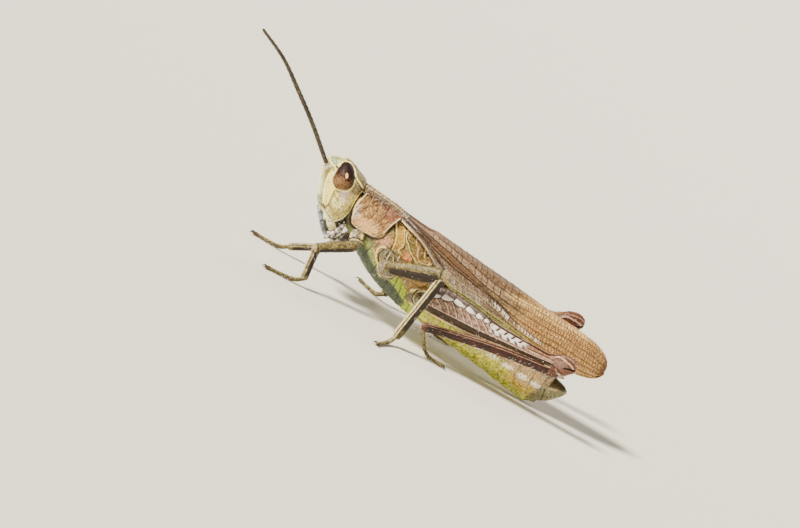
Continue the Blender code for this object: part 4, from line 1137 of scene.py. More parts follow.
def makeAbdomen():
    rings = roundEnds(bodyRings(abdomenStations, abdomenSize["widen"], abdomenSize["levels"],
                                abdomenSize["around"]), 0.05, 0.1)
    x, y, z = axes(rings)
    side = np.abs(y)
    shifted = x + 0.45 * np.minimum(z + 4.0, 0) + 0.12 * (z + 4.0)
    k = np.clip(np.searchsorted(segmentEnds, shifted) - 1, 0, len(segmentEnds) - 2)
    begin = np.array(segmentEnds)[k]
    length = np.array(segmentEnds)[k + 1] - begin
    share = unit((shifted - begin) / length)
    seam = near(np.minimum(share, 1 - share) * length, 0, 0.035)
    fold = near(z + 4.62, 0.02 * (x - 11), 0.05) * (side > 0.15)
    height = (abdomenSize["step"] * (share - 0.5) - 0.03 * seam - 0.03 * fold + 0.008 * lumps(x, y, z, 0.25, 31)
              + 0.006 * lumps(x, y, z, 0.11, 32))
    belly = 1 - fade(z, -4.0, -3.75)
    tail = fade(x, 14.5, 15.2)
    # painted highlights: bright spots, one on each ring toward the tail
    spots = [(begun + 0.42, -3.92 + 0.02 * (begun - 9.38)) for begun in segmentEnds[3:-1]]
    paintedHighlight = strongest(patch(x, z, spot, (0.42, 0.15), 8) for spot in spots)
    masks = {
        # painted shadow: the abdomen above z = -3.7 is darkened under the hind leg
        "back": fade(z, -3.78, -3.6), "belly": belly * (1 - tail), "tail": fade(x, 14.9, 15.5),
        "tan": unit(patch(x, z, (14.3, -3.7), (1.1, 0.55)) + 0.5 * fade(z, -4.0, -3.6)),
        "orange": fade(x, 12.4, 14.2) * belly * (1 - fade(-z, 4.55, 4.8)),
        "flankSpots": fade(z, -3.95, -3.85) * fade(x, 9.5, 10.5) * (1 - tail),
        "paintedHighlight": paintedHighlight * fade(lumps(x, y, z, 0.17, 34), -0.9, 0.2) * (side > 0.2),
        "darkLine": unit(seam * 0.85 * (share > 0.4) + 0.35 * fold),
        "cream": near((1 - share) * length, 0.09, 0.05) * (1 - tail) * 0.45,
        "deepGreen": near(z, -4.75, 0.14) * (side > 0.2),
    }
    offFloor = toWorld(rings.reshape(-1, 3))[:, 2].reshape(x.shape) > 0.0002
    scatterHairs("abdomen", rings, (belly + 0.2) * offFloor, (0.6, 0, -0.2))
    mesh = shellMesh("abdomen", [(raised(rings, height), masks)])
    paint = cuticle("waxyAbdomenCuticle", abdomenLook)
    addPiece("abdomen_rings", mesh, paint, ["abdomen"])

    rings, share, high = limbRings(*tailPlate["ends"], (0, 0, 1), tailPlate["stations"], *tailPlate["mesh"])[:3]
    seam = near(share, 0.24, 0.03)
    height = -0.03 * seam + 0.006 * lumps(*axes(rings), 0.2, 33)
    # painted shadow of the shin over the top of the tail plate
    masks = {"tail": np.ones_like(share),
             "darkLine": unit(seam + 0.3 * fade(share, 0.9, 1.0) + 0.95 * fade(high, 0.12, 0.3)),
             "tan": patch(share, high, (0.5, 0.5), (0.3, 0.5))}
    shells = [domed(raised(rings, height), 0.03, 0.06, masks)]
    for sign in (-1, 1):  # cerci: two short blunt feelers beside the tail plate
        path = [(15.6, sign * 0.36, -2.75), (15.95, sign * 0.44, -2.66), (16.3, sign * 0.44, -2.6)]
        tube, share = tubeRings(path, [(0, 0.12), (0.5, 0.1), (1, 0.04)], *tailPlate["cercusMesh"])[:2]
        shells.append(domed(tube, 0.02, 0.03, {"tail": np.full(share.shape, 0.8)}))
    addShell("tail_plate", shells, paint, ["genital_plate"])


makeAbdomen()
print("abdomen: done")

tegmenLook = {  # leathery membrane stretched between raised veins: satin, warm brown to golden tan
    "mottle": 0.45, "ground": ("#6e5739", "#846b47", "#9a7e54"),
    "layers": [
        ("dorsal", "#664c34", 0.8, 0.5),
        ("base", "#7c5b40", 0.75, 0.5),
        ("brownTop", "#7a5c2c", 0.8, 0.4),
        ("tip", "#b58c52", 0.85, 0.5),
        # painted highlight: a pale gold streak along the first anal vein, with some golden cells at the tip
        ("goldHighlight", "#e2be78", 0.85, 0.5),
        ("cell", "#947a5e", 0.85, 0.5),
        ("rufous", "#684a30", 0.8, 0.5),
        ("greyField", "#7a624a", 0.9, 0.6),
        ("silver", "#bfae9c", 0.85, 0.7),
        ("yellowGreen", "#a3a050", 0.9, 0.4),
        ("tipVein", "#6c4520", 0.9, 0.3),
        ("darkVein", "#28150a", 0.94, 0.25),
        ("paleVein", "#d2bd8c", 0.9, 0.3),
        ("silverDot", "#e6dfd2", 0.92, 0.4),
        ("shade", "#33241a", 0.88, 0.4),
        ("lilac", "#cfc0c4", 0.85, 0.5),
        ("cream", "#efe0cc", 0.95, 0.3),
    ],
    "gloss": (0.44, 0.62), "coat": 0.02, "ior": 1.4, "ragged": 0.08,
}
tegmenSize = {"levels": 600, "outer": 118, "inner": 26, "thick": 0.3, "vein": 0.032, "tilt": 0.21, "seed": 7}
tegmenStations = [  # x, ridge, top, shoulder y, shoulder z, edge y, edge z
    (2.78, -0.22, -0.17, 1.0, -0.28, 1.16, -0.46), (4.0, -0.22, -0.14, 1.12, -0.4, 1.36, -0.66),
    (5.0, -0.14, -0.04, 1.16, -0.52, 1.48, -0.98), (6.0, -0.08, 0.02, 1.18, -0.62, 1.54, -1.46),
    (7.2, -0.07, 0.04, 1.16, -0.72, 1.54, -1.92), (8.5, -0.07, 0.06, 1.14, -0.84, 1.52, -2.1),
    (11.0, -0.03, 0.09, 1.02, -0.92, 1.42, -2.22), (13.5, -0.04, 0.07, 0.92, -0.92, 1.3, -2.16),
    (15.4, 0.04, 0.12, 0.82, -0.84, 1.16, -2.02), (16.6, 0.02, 0.1, 0.68, -0.8, 0.98, -1.84),
    (17.35, -0.16, -0.08, 0.54, -0.84, 0.8, -1.62), (17.72, -0.36, -0.3, 0.42, -0.88, 0.6, -1.44),
    (17.9, -0.56, -0.52, 0.32, -0.92, 0.44, -1.26), (17.98, -0.78, -0.77, 0.22, -0.95, 0.3, -1.08),
]
longVeins = [  # key, half width, kind, then (x, share of the way from the ridge down to the lower edge)
    ("anal1", 0.04, "dark",
     [(2.8, 0.05), (4.8, 0.06), (5.4, 0.14), (6.8, 0.15), (8.0, 0.185), (9.4, 0.22), (11, 0.215),
      (12, 0.17), (13, 0.14), (14.5, 0.105), (17.9, 0.12)]),
    ("anal2", 0.03, "fine", [(10.6, 0.32), (12, 0.29), (13, 0.26), (14.5, 0.21), (17.9, 0.24)]),
    ("cubitus2", 0.045, "dark", [(2.8, 0.22), (4.8, 0.33), (5.4, 0.33), (6.5, 0.305), (7.5, 0.335), (8.7, 0.385),
                                 (9.5, 0.405), (11.7, 0.41), (13, 0.38), (14.5, 0.32), (17.9, 0.36)]),
    ("cubitus1", 0.035, "fine",
     [(2.8, 0.36), (5, 0.44), (6.4, 0.4), (8, 0.41), (9.5, 0.455), (11.7, 0.49), (13, 0.48), (14.5, 0.43),
      (17.9, 0.48)]),
    ("radiusTop", 0.045, "dark",
     [(2.8, 0.46), (5, 0.52), (6.4, 0.47), (8, 0.46), (9.5, 0.49), (11.7, 0.575), (13, 0.575), (14.5, 0.54),
      (17.9, 0.6)]),
    ("radius", 0.05, "dark",
     [(2.8, 0.6), (5, 0.64), (6.4, 0.56), (8, 0.52), (9.3, 0.52), (10.6, 0.56), (11.6, 0.64), (12.4, 0.67),
      (13.3, 0.69), (14.5, 0.66), (17.9, 0.72)]),
    ("subcosta", 0.035, "pale",
     [(2.8, 0.78), (5, 0.8), (6.4, 0.74), (8, 0.7), (9.4, 0.655), (10.6, 0.7), (11.4, 0.755),
      (12.4, 0.775), (13.4, 0.79), (15, 0.8), (17.9, 0.84)]),
    ("costa", 0.035, "pale",
     [(5.6, 0.92), (7.3, 0.93), (8.3, 0.87), (9.5, 0.84), (11, 0.83), (12.6, 0.85), (14, 0.88), (17.9, 0.93)]),
]
crossRows = [  # between which veins, gap, slant, strength, x where it starts and ends
    ("middle", "anal1", 0.4, 0.1, 0.85, 5.0, 99), ("anal1", "anal2", 0.26, 0.06, 1.0, 10.6, 99),
    ("anal2", "cubitus2", 0.25, 0.06, 1.0, 10.6, 99),
    ("anal1", "cubitus2", 0.44, 0.16, 1.0, 4.4, 10.6), ("cubitus2", "cubitus1", 0.3, 0.06, 0.5, 8.5, 99),
    ("cubitus1", "radiusTop", 0.3, 0.05, 0.5, 9.5, 99), ("radiusTop", "radius", 0.3, 0.05, 0.5, 10.0, 99),
    ("radius", "subcosta", 0.31, 0.1, 0.9, 9.2, 99), ("radius", "subcosta", 0.24, 0.4, 0.5, 5.0, 10.6),
    ("subcosta", "costa", 0.22, 0.5, 0.55, 4.6, 99), ("costa", "edge", 0.24, 0.2, 0.3, 6.0, 99),
]


def tegmenRings():
    rows = stationTable(tegmenStations, tegmenSize["levels"], (1, 2, 3, 4, 5, 6))
    outerCount = tegmenSize["outer"]
    innerCount = tegmenSize["inner"]
    outer = []
    inner = []
    for x, ridge, top, sy, sz, ey, ez in rows:
        shape = [(0.02, top), (-0.55 * sy, ridge), (-sy, sz), (-0.5 * (sy + ey) - 0.04, 0.5 * (sz + ez)),
                 (-ey, ez)]
        line = smoothPath(shape, outerCount)
        share = tegmenSize["thick"] * np.linspace(1, 0.35, innerCount)
        back = smoothPath(shape, innerCount)
        drawnY = back[:, 0] * (1 - share / ey)
        drawnZ = ez + (back[:, 1] - ez) * (1 - share / max(top - ez, 0.6))
        outer.append(line)
        inner.append(np.column_stack([drawnY, drawnZ])[::-1])
    flat = np.concatenate([np.array(outer), np.array(inner)], 1)
    x = np.repeat(rows[:, 0][:, None], flat.shape[1], 1)
    return np.stack([x, flat[:, :, 0], flat[:, :, 1]], 2)


def makeTegmina():
    rings = tegmenRings()
    levels, around = rings.shape[:2]
    outerCount = tegmenSize["outer"]
    # how far down the wing each point looks from a little above its side: 0 at the ridge, 1 at the lower edge
    seen = rings[:, :, 2] + tegmenSize["tilt"] * rings[:, :, 1]
    seenTop = seen[:, :outerCount].max(1)[:, None]
    girth = seenTop - seen[:, outerCount - 1 : outerCount]
    share = (seenTop - seen) / girth
    ridgeAt = seen[:, :outerCount].argmax(1)[:, None]
    share = np.where(np.arange(around)[None] < ridgeAt, -share, share)
    share[:, outerCount:] = np.linspace(1, 0, tegmenSize["inner"])[None]
    top = np.zeros((levels, around))
    top[:, :outerCount] = 1.0
    x = rings[:, :, 0]
    xs = x[:, 0]
    lines = {"middle": np.full(levels, -0.5), "edge": np.ones(levels)}
    dark = np.zeros_like(x)
    pale = np.zeros_like(x)
    for key, width, kind, places in longVeins:
        table = np.array(places)
        line = pchip(table[:, 0], table[:, 1], np.clip(xs, table[0, 0], table[-1, 0]))[:, 0]
        lines[key] = line
        gap = np.abs(share - line[:, None]) * girth
        value = 1 - fade(gap / width, 0.3, 1.0)
        if kind == "pale":
            pale = np.maximum(pale, value)
        else:
            dark = np.maximum(dark, value * (1.0 if kind == "dark" else 0.6))
    rng = np.random.default_rng(tegmenSize["seed"])
    cross = np.zeros_like(x)
    cellTone = np.zeros_like(x)
    tip = fade(x, 10.5, 13.0)
    for first, second, gap, slant, strength, begin, end in crossRows:
        a = lines[first][:, None]
        b = lines[second][:, None]
        across = (share - a) / np.maximum(b - a, 1e-4)
        inside = (across > 0) & (across < 1)
        places = [2.9]
        while places[-1] < 18.2:
            far = 0.62 if places[-1] > 11.5 else 1.0  # cells are finer toward the tip
            places.append(places[-1] + gap * far * rng.uniform(0.75, 1.3))
        places = np.array(places)
        tones = rng.uniform(0, 1, len(places) + 1)
        at = x - slant * across + 0.03 * np.sin(across * 9 + x * 3)
        k = np.clip(np.searchsorted(places, at), 1, len(places) - 1)
        closest = np.minimum(np.abs(at - places[k - 1]), np.abs(places[k] - at))
        value = ((1 - fade(closest / 0.045, 0.3, 1.0)) * inside * fade(x, begin, begin + 0.6)
                 * np.maximum(strength, 0.85 * tip))
        value = value * (1 - fade(x, end - 0.6, end))
        cross = np.maximum(cross, value)
        cellTone = np.where(inside & (x < end), tones[k], cellTone)

    def between(first, second, soft=0.012):
        return (fade(share - lines[first][:, None], -soft, soft)
                * fade(lines[second][:, None] - share, -soft, soft) * top)

    def span(begin, end, soft=0.8):
        return hump(x, begin - soft, begin + soft, end - soft, end + soft)

    def streak(places, half):
        line = np.interp(x, [p[0] for p in places], [p[1] for p in places])
        return near((share - line) * girth, 0, half) * top * (x > places[0][0]) * (x < places[-1][0])

    bigCells = between("anal1", "cubitus2") * span(4.6, 10.6)
    rufous = between("cubitus2", "radius") * span(2.0, 9.0, 1.2)
    lowField = between("radius", "edge") * span(4.5, 13.5)
    silver = between("subcosta", "costa") * span(5.6, 9.8, 0.6) * (0.25 + 0.5 * cellTone)
    stripe = streak([(6.2, 0.97), (7.3, 0.95), (8.2, 0.9), (8.9, 0.88), (9.5, 0.865), (11, 0.85), (12.5, 0.86),
                     (14, 0.9)], 0.15)
    dots = fade(cellTone, 0.0, 0.35) * (1 - fade(cross, 0.1, 0.5)) * span(9.6, 13.8, 0.3)
    dots = dots * streak([(9.0, 0.585), (10.6, 0.63), (11.4, 0.7), (12.4, 0.72), (13.4, 0.74), (14.4, 0.74)], 0.11)
    # painted highlight: a pale gold streak along the first anal vein
    goldHighlight = streak([(10.2, 0.25), (11.0, 0.22), (11.8, 0.18), (12.5, 0.155), (14.0, 0.12), (14.7, 0.085),
                   (16, 0.06)], 0.15)
    brownTop = (1 - fade(share, 0.05, 0.1)) * span(11.0, 13.8) * top
    whiteStrip = (streak([(2.8, 0.92), (4.6, 0.93), (5.8, 0.95)], 0.065 - 0.03 * fade(x, 3.3, 5.0))
                  * (1 - 0.45 * fade(x, 3.3, 4.0)))
    lilacStrip = 0.6 * streak([(2.9, 0.4), (3.35, 0.5), (4.03, 0.6)], 0.04)
    basalDark = (streak([(2.8, 0.68), (4.1, 0.74), (5.1, 0.76), (6.5, 0.78)], 0.1)
                 + streak([(3.1, 0.22), (4.1, 0.42), (5.0, 0.52)], 0.06))
    flecks = lowField * (lumps(x * 1.6 + 1.2 * share, share * 4, x * 0, 0.2, 44) > 0.55) * (1 - tip)
    whiteFlecks = lowField * (lumps(x * 1.6 + 1.2 * share, share * 4, x * 0, 0.22, 45) > 0.6) * (1 - tip)
    edgeRim = near((1 - share) * girth, 0, 0.05) * top
    tipRim = fade(x, 17.6, 17.75)
    allVeins = np.maximum(np.maximum(dark, pale), cross)
    height = (tegmenSize["vein"] * (dark + 1.15 * pale + 0.7 * cross * (1 - dark)) + 0.02 * edgeRim
              - 0.008 * (1 - allVeins) * (0.4 + cellTone) + 0.01 * dots)
    height = height * top + 0.008 * lumps(x, rings[:, :, 1] * 2, rings[:, :, 2], 0.9, 41) * top
    veins = unit(dark + 0.95 * cross * (1 - pale)) * top
    parallel = between("radius", "subcosta") * (1 - 0.6 * tip)
    masks = {
        "dorsal": (1 - fade(share, lines["anal1"][:, None] - 0.02, lines["anal1"][:, None] + 0.02)) * top,
        "tip": tip,
        "base": (1 - fade(x, 4.5, 8.5)) * top, "goldHighlight": unit(goldHighlight + 0.35 * tip * (cellTone > 0.6)),
        "cell": bigCells,
        "rufous": rufous,
        "greyField": lowField * (1 - tip), "silver": unit(silver + 0.35 * parallel * cellTone) * top,
        "yellowGreen": unit(stripe), "darkVein": unit(veins * (1 - tip) + 0.6 * flecks),
        "tipVein": veins * tip + 0.8 * tipRim,
        "paleVein": pale * top * (1 - 0.85 * tip) * 0.8, "silverDot": unit(dots + 0.22 * whiteFlecks),
        "lilac": lilacStrip, "brownTop": brownTop, "shade": unit(basalDark + 0.6 * (1 - top)),
        "cream": whiteStrip,
    }
    paint = cuticle("leatheryForewing", tegmenLook)
    body, fields = domed(raised(rings, height), 0.02, 0.02, masks, 5)
    for word, shape in (("left", body), ("right", mirrored(body))):
        addShell("veined_forewing_" + word, [(shape, fields)], paint, ["tegmen_" + word])


makeTegmina()
print("forewings: done")

thighLook = {  # jumping thigh: thick polished plates, pearly scales above, fishbone ridges on the side
    "mottle": 0.22, "ground": ("#634c40", "#8b6e5c", "#ae8f7c"),
    "layers": [
        ("end", "#8a6248", 0.85, 0.5),
        ("inner", "#7a6440", 0.8, 0.4),
        ("band", "#2c1d03", 0.97, 0.3),
        ("slate", "#5c5450", 0.92, 0.4),
        ("scale", "#f2e9e6", 0.94, 0.35),
        ("groove", "#2a1c14", 0.92, 0.35),
        ("chevron", "#dcc2ac", 0.92, 0.3),
        ("knee", "#603b29", 0.9, 0.4),
        ("kneeMiddle", "#82655a", 0.85, 0.5),
        ("topEdge", "#2b2823", 0.95, 0.3),
        ("topLine", "#e6e0d4", 0.95, 0.2),
        ("pinkRidge", "#c6a696", 0.95, 0.25),
        ("cream", "#ffe2a4", 0.97, 0.15),
        ("darkLine", "#180c05", 0.96, 0.3),
    ],
    "gloss": (0.28, 0.44), "coat": 0.04, "ior": 1.36, "ragged": 0.07,
}
shinLook = {  # polished, deeply tanned shin; the near-black ground left on its lower half is partly its own colour and partly painted shade
    "mottle": 0.3, "ground": ("#180604", "#2c0c07", "#46190f"),
    "layers": [("fill", "#33201a", 0.94, 0.15), ("pale", "#ac8670", 0.95, 0.08), ("joint", "#583626", 0.85, 0.4),
               ("darkLine", "#120502", 0.9, 0.3)],
    "gloss": (0.3, 0.46), "coat": 0.08, "ior": 1.38, "ragged": 0.08,
}
legLook = {  # slender walking legs: keeled tubes, olive and cream
    "mottle": 0.2, "ground": ("#40381f", "#615630", "#8a7b4c"),
    "layers": [
        # painted shade on undersides and rear faces
        ("paintedShade", "#1c110a", 0.97, 0.12),
        ("shadow", "#3b3222", 0.9, 0.5),
        ("dots:mottled:0.2", "#5f5426", 0.8, 0),
        ("cream", "#e6d698", 0.95, 0.3),
        ("joint", "#a58d68", 0.7, 0.4),
        ("darkLine", "#1c140a", 0.95, 0.3),
    ],
    "gloss": (0.48, 0.64), "coat": 0.03, "ior": 1.38, "ragged": 0.08,
}

thighStations = [  # share, up, down, side, power
    (0, 0.4, 0.25, 0.26, 2), (0.03, 0.8, 0.42, 0.39, 2.1), (0.08, 1.12, 0.5, 0.49, 2.3),
    (0.13, 1.19, 0.54, 0.525, 2.4),
    (0.2, 1.1, 0.58, 0.525, 2.4), (0.3, 0.92, 0.6, 0.48, 2.4), (0.4, 0.7, 0.58, 0.44, 2.4),
    (0.5, 0.53, 0.52, 0.4, 2.4),
    (0.6, 0.42, 0.46, 0.36, 2.4), (0.72, 0.32, 0.42, 0.315, 2.3), (0.82, 0.26, 0.42, 0.295, 2.3),
    (0.87, 0.42, 0.52, 0.305, 2.2),
    (0.91, 0.6, 0.68, 0.33, 2.1), (0.95, 0.63, 0.66, 0.33, 2.1), (0.985, 0.54, 0.42, 0.28, 2.1),
    (1, 0.42, 0.28, 0.22, 2),
]
thighLines = {  # height over the thigh's axis in mm of its long ridges, at these shares of its length
    "upper": [(0.05, 0.5), (0.12, 0.65), (0.17, 0.7), (0.23, 0.66), (0.3, 0.54), (0.36, 0.48), (0.42, 0.44),
              (0.46, 0.26), (0.54, 0.1)],
    "split": [(0.05, 0.7), (0.12, 0.93), (0.18, 0.94), (0.26, 0.86), (0.32, 0.74), (0.42, 0.6), (0.54, 0.42)],
    "lower": [(0.05, 0.02), (0.11, -0.01), (0.21, -0.04), (0.32, -0.08), (0.38, -0.11), (0.44, -0.09), (0.7, -0.1),
              (0.86, -0.06)],
    "cream": [(0.04, -0.4), (0.08, -0.44), (0.3, -0.55), (0.42, -0.51), (0.53, -0.42), (0.7, -0.36),
              (0.86, -0.36)],
    "scaleEnds": (0.04, 0.1, 0.175, 0.258, 0.33, 0.385, 0.43, 0.48),
}
walkStations = [(0, 0.16, 0.16, 0.16, 2), (0.07, 0.29, 0.29, 0.27, 2.1), (0.4, 0.31, 0.31, 0.28, 2.2),
                (0.8, 0.27, 0.27, 0.26, 2.2), (0.94, 0.29, 0.28, 0.27, 2), (1, 0.12, 0.12, 0.12, 2)]
midStations = [(0, 0.16, 0.16, 0.16, 2), (0.07, 0.32, 0.32, 0.26, 2.1), (0.3, 0.38, 0.42, 0.3, 2.4),
               (0.6, 0.42, 0.5, 0.3, 2.5), (0.86, 0.42, 0.48, 0.28, 2.4), (0.94, 0.38, 0.34, 0.27, 2),
               (1, 0.14, 0.14, 0.13, 2)]
coxaStations = [(0, 0.9, 0.9, 0.8, 2.2), (0.5, 1, 1, 0.85, 2.2), (0.85, 0.72, 0.72, 0.6, 2),
                (1, 0.3, 0.3, 0.25, 2)]
legSize = {
    "chevronGap": 0.5, "blobGap": 0.5, "footRadius": 0.135, "hip": {"fore": 0.46, "mid": 0.66, "hind": 0.62},
    "tilt": 0.2,  # how far a point's height seems to drop for each mm that it stands out
    # levels and points around of each shell
    "thigh": (460, 165), "shin": (240, 84), "walkingThigh": (160, 66), "walkingShin": (160, 50), "foot": (190, 30),
    "claw": (30, 14), "pad": (20, 20), "hipPlate": (64, 60),
}
# coxa, hip, knee and ankle, then the foot's points; the last number of ankle and foot is lift off the floor
legPlan = {
    "fore_left": {"coxa": (1.25, 0.8, -2.55), "hip": (1.5, 1.45, -3.2), "knee": (-0.33, 2.02, -4.42),
                  "ankle": (0.1, 2.3, 0.5), "foot": [(-0.4, 2.36, 0.2), (-1.3, 2.5, 0.14), (-2.05, 2.62, 0.13)]},
    "fore_right": {"coxa": (1.25, 0.8, -2.55), "hip": (1.56, 1.42, -3.22), "knee": (1.0, 2.6, -5.14),
                   "ankle": (-0.8, 2.62, 0.5), "foot": [(-1.3, 2.7, 0.2), (-2.1, 2.84, 0.14), (-2.8, 2.96, 0.13)]},
    "mid_left": {"coxa": (4.0, 0.8, -3.4), "hip": (3.6, 1.92, -2.98), "knee": (6.32, 3.2, -1.22),
                 "ankle": (6.16, 3.66, 0.5), "foot": [(5.92, 4.1, 0.2), (5.5, 4.86, 0.14), (5.14, 5.5, 0.13)]},
    "mid_right": {"coxa": (4.0, 0.8, -3.4), "hip": (3.6, 1.92, -2.98), "knee": (5.92, 3.3, -1.2),
                  "ankle": (5.66, 3.86, 0.5), "foot": [(5.36, 4.3, 0.2), (4.86, 5.02, 0.14), (4.42, 5.62, 0.13)]},
    "hind_left": {"coxa": (6.1, 0.95, -3.7), "hip": (6.55, 2.0, -3.3), "knee": (15.34, 2.7, -1.46),
                  "ankle": (7.3, 2.42, 1.55), "foot": [(7.78, 2.48, 0.92), (8.45, 2.58, 0.26), (9.5, 2.72, 0.14)]},
    "hind_right": {"coxa": (6.1, 0.95, -3.7), "hip": (6.55, 2.0, -3.24), "knee": (15.45, 2.7, -0.18),
                   "ankle": (8.05, 2.5, 1.45),
                   "foot": [(8.55, 2.56, 0.84), (9.25, 2.66, 0.24), (10.3, 2.8, 0.14)]},
}


def sideOf(name):
    return -1 if name.endswith("left") else 1


def legPoints(name):  # the leg's joints on its own side of the body: coxa, hip, knee, ankle and the foot's points
    plan = legPlan[name]
    low = [floorPoint(*p) for p in [plan["ankle"]] + plan["foot"]]
    return [np.array((x, y * sideOf(name), z)) for x, y, z in [plan["coxa"], plan["hip"], plan["knee"]] + low]


def thighLine(key, share):
    return np.interp(share, [p[0] for p in thighLines[key]], [p[1] for p in thighLines[key]])


def patchLine(value, middle, half):
    return 1 - fade(np.abs(value - middle) / half, 0.6, 1.1)


def makeThigh(name, paint):
    hip, knee = legPoints(name)[1:3]
    way = (knee - hip) / np.linalg.norm(knee - hip)
    rings, share, high, out = limbRings(hip - way * 0.2, knee + way * 0.48, (0, 0, 1), thighStations,
                                        *legSize["thigh"])
    out = out * np.sign(sideOf(name) * np.cross(way, (0, 0, 1))[1])
    outerFace = fade(out, -0.3, -0.05)
    length = np.linalg.norm(knee - hip) + 0.68
    along = share * length
    table = np.array(thighStations)
    tops = pchip(table[:, 0], table[:, 1:3], share[:, 0])
    top, low = tops[:, :1], tops[:, 1:]
    half = pchip(table[:, 0], table[:, 3:4], share[:, 0])
    # height as it looks from a little above, so the scales reach over the rounded top edge
    rise = np.where(high > 0, high * top, high * low) - legSize["tilt"] * (out * half - 0.4)
    top = top + 0.07
    upper, split, lower, creamAt = (thighLine(key, share) for key in ("upper", "split", "lower", "cream"))
    knees = fade(share, 0.855, 0.88)
    body = (1 - knees) * fade(share, 0.03, 0.06)
    shown = outerFace * body

    # pearly scales above, each with a slate upper half and a dark curved outline
    upFlat = unit((rise - upper) / np.maximum(top - upper, 0.1))
    ends = np.array(thighLines["scaleEnds"])
    at = share - 0.24 * (upFlat - 0.4) / length
    k = np.clip(np.searchsorted(ends, at) - 1, 0, len(ends) - 2)
    cell = unit((at - ends[k]) / (ends[k + 1] - ends[k]))
    cellGap = np.minimum(cell, 1 - cell) * (ends[k + 1] - ends[k]) * length
    scallop = upper + 0.07 - 0.11 * np.sin(cell * math.pi)
    scaleSpan = shown * hump(share, 0.05, 0.07, 0.43, 0.45)
    inScale = fade(rise - scallop, -0.02, 0.02) * (1 - fade(rise - top, -0.06, -0.02)) * scaleSpan
    outline = near(rise, scallop, 0.035) * scaleSpan + near(cellGap, 0, 0.035) * inScale
    curved = split - 0.16 * (cell - 0.5)
    slate = inScale * fade(rise - curved, -0.04, 0.04)
    dome = np.sin(cell * math.pi) * np.sin(upFlat * math.pi) * inScale

    # fishbone ridges under them, square to the thigh below and leaning to its base above
    flat = unit((rise - lower) / np.maximum(upper - lower, 0.1))
    gap = legSize["chevronGap"]
    phase = ((along + 0.62 * flat**1.35) / gap) % 1.0
    chevron = near((phase - 0.5) * gap, 0, 0.036)
    # painted shade: a dark band just beside each fishbone ridge, on one side
    chevronShade = np.exp(-(((phase - 0.5) * gap - 0.085) ** 2 / 0.04**2))
    fishSpan = shown * hump(share, 0.05, 0.08, 0.46, 0.5)
    inFish = fade(rise - lower, 0.02, 0.06) * (1 - fade(rise - scallop, -0.06, -0.02)) * fishSpan

    # two rows of white blobs with dark commas on the narrow half
    blobSpan = shown * hump(share, 0.43, 0.46, 0.64, 0.72)
    ledge = np.clip((rise - lower) / np.maximum(top - lower, 0.1), 0, 1.2)
    upRow = (along / legSize["blobGap"] - 0.9 * (ledge - 0.75)) % 1.0
    lowRow = (along / legSize["blobGap"] + 1.2 * (ledge - 0.3) + 0.5) % 1.0
    comma = (near(upRow, 0.5, 0.17) * patchLine(ledge, 0.68, 0.2)
             + near(lowRow, 0.5, 0.2) * patchLine(ledge, 0.28, 0.22))
    inBlob = hump(ledge, 0.14, 0.24, 0.8, 0.9) * blobSpan
    tail = shown * fade(share, 0.66, 0.72)
    tailRidge = near(rise, 0.02, 0.03) * tail
    tailDark = near(rise, 0.12, 0.03) * tail

    ridgeLow = near(rise, lower, 0.035) * shown
    creamLine = near(rise, creamAt, 0.03) * shown
    band = fade(lower - rise, 0.04, 0.07) * (1 - fade(creamAt - rise, -0.06, -0.02)) * shown
    # painted shade: the thigh's lower face, below the cream keel where the shin lies against it, is darkened
    under = fade(creamAt - rise, 0.04, 0.08) * shown
    keelTop = fade(rise - top, -0.05, -0.01) * body
    topLine = near(rise - top, 0.1, 0.045) * body * (1 - fade(share, 0.5, 0.6))
    topDark = near(rise - top, -0.05, 0.035) * shown * fade(share, 0.36, 0.42)

    def kneeLine(points, width):
        return stroke(along, rise, [(a * length, b) for a, b in points], width) * fade(np.abs(out), 0.0, 0.25)

    arc = kneeLine([(0.85, 0.06), (0.868, 0.3), (0.896, 0.43), (0.94, 0.36), (0.98, 0.22), (0.995, 0.12)], 0.09)
    outerArc = kneeLine([(0.905, 0.56), (0.95, 0.57), (0.985, 0.48), (1.0, 0.36)], 0.06)
    kneeGap = kneeLine([(0.945, -0.06), (0.973, 0.0), (0.99, 0.04), (1.01, 0.1)], 0.08)
    kneeSeam = kneeLine([(0.8, -0.16), (0.86, -0.14), (0.91, -0.3), (0.95, -0.46)], 0.05)
    blob = patch(along, rise, (0.935 * length, -0.56), (0.3, 0.14), 0) * outerFace
    middle = patch(along, rise, (0.905 * length, 0.06), (0.5, 0.26), 10) * outerFace

    height = (0.035 * ridgeLow + 0.05 * creamLine + 0.055 * keelTop + 0.028 * chevron * inFish + 0.045 * dome
              - 0.025 * outline + 0.03 * (1 - comma) * inBlob - 0.02 * band + 0.03 * tailRidge - 0.02 * tailDark
              + 0.05 * arc + 0.03 * outerArc - 0.07 * kneeGap - 0.03 * kneeSeam + 0.05 * blob
              + 0.005 * lumps(*axes(rings), 0.2, 51))
    masks = {
        "end": 0.9 * fade(share, 0.55, 0.8), "inner": (1 - outerFace) * (1 - knees) * 0.9,
        "band": band, "slate": slate * (1 - unit(outline)),
        "scale": unit((inScale - slate) * (1 - unit(outline)) + inBlob * (1 - unit(comma))),
        "chevron": chevron * inFish,
        "groove": unit(outline + 0.85 * comma * inBlob + 0.55 * chevronShade * inFish + tailDark),
        "topEdge": keelTop * (1 - fade(share, 0.4, 0.48)), "topLine": topLine,
        "pinkRidge": unit(ridgeLow + tailRidge + 0.8 * arc * knees + 0.7 * blob + 0.5 * outerArc),
        "knee": knees, "kneeMiddle": middle, "cream": unit(creamLine),
        "darkLine": unit(0.9 * under + topDark + kneeGap + 0.8 * kneeSeam
                         + 0.8 * near(rise - lower, -0.07, 0.025) * shown),
    }
    scatterHairs("thigh", rings, fade(-high, 0.6, 0.9) + 0.25, way * 0.6)
    addShell("jumping_thigh_" + name[5:], [domed(raised(rings, height), 0.05, 0.16, masks)], paint,
             ["hind_femur_" + name[5:]])


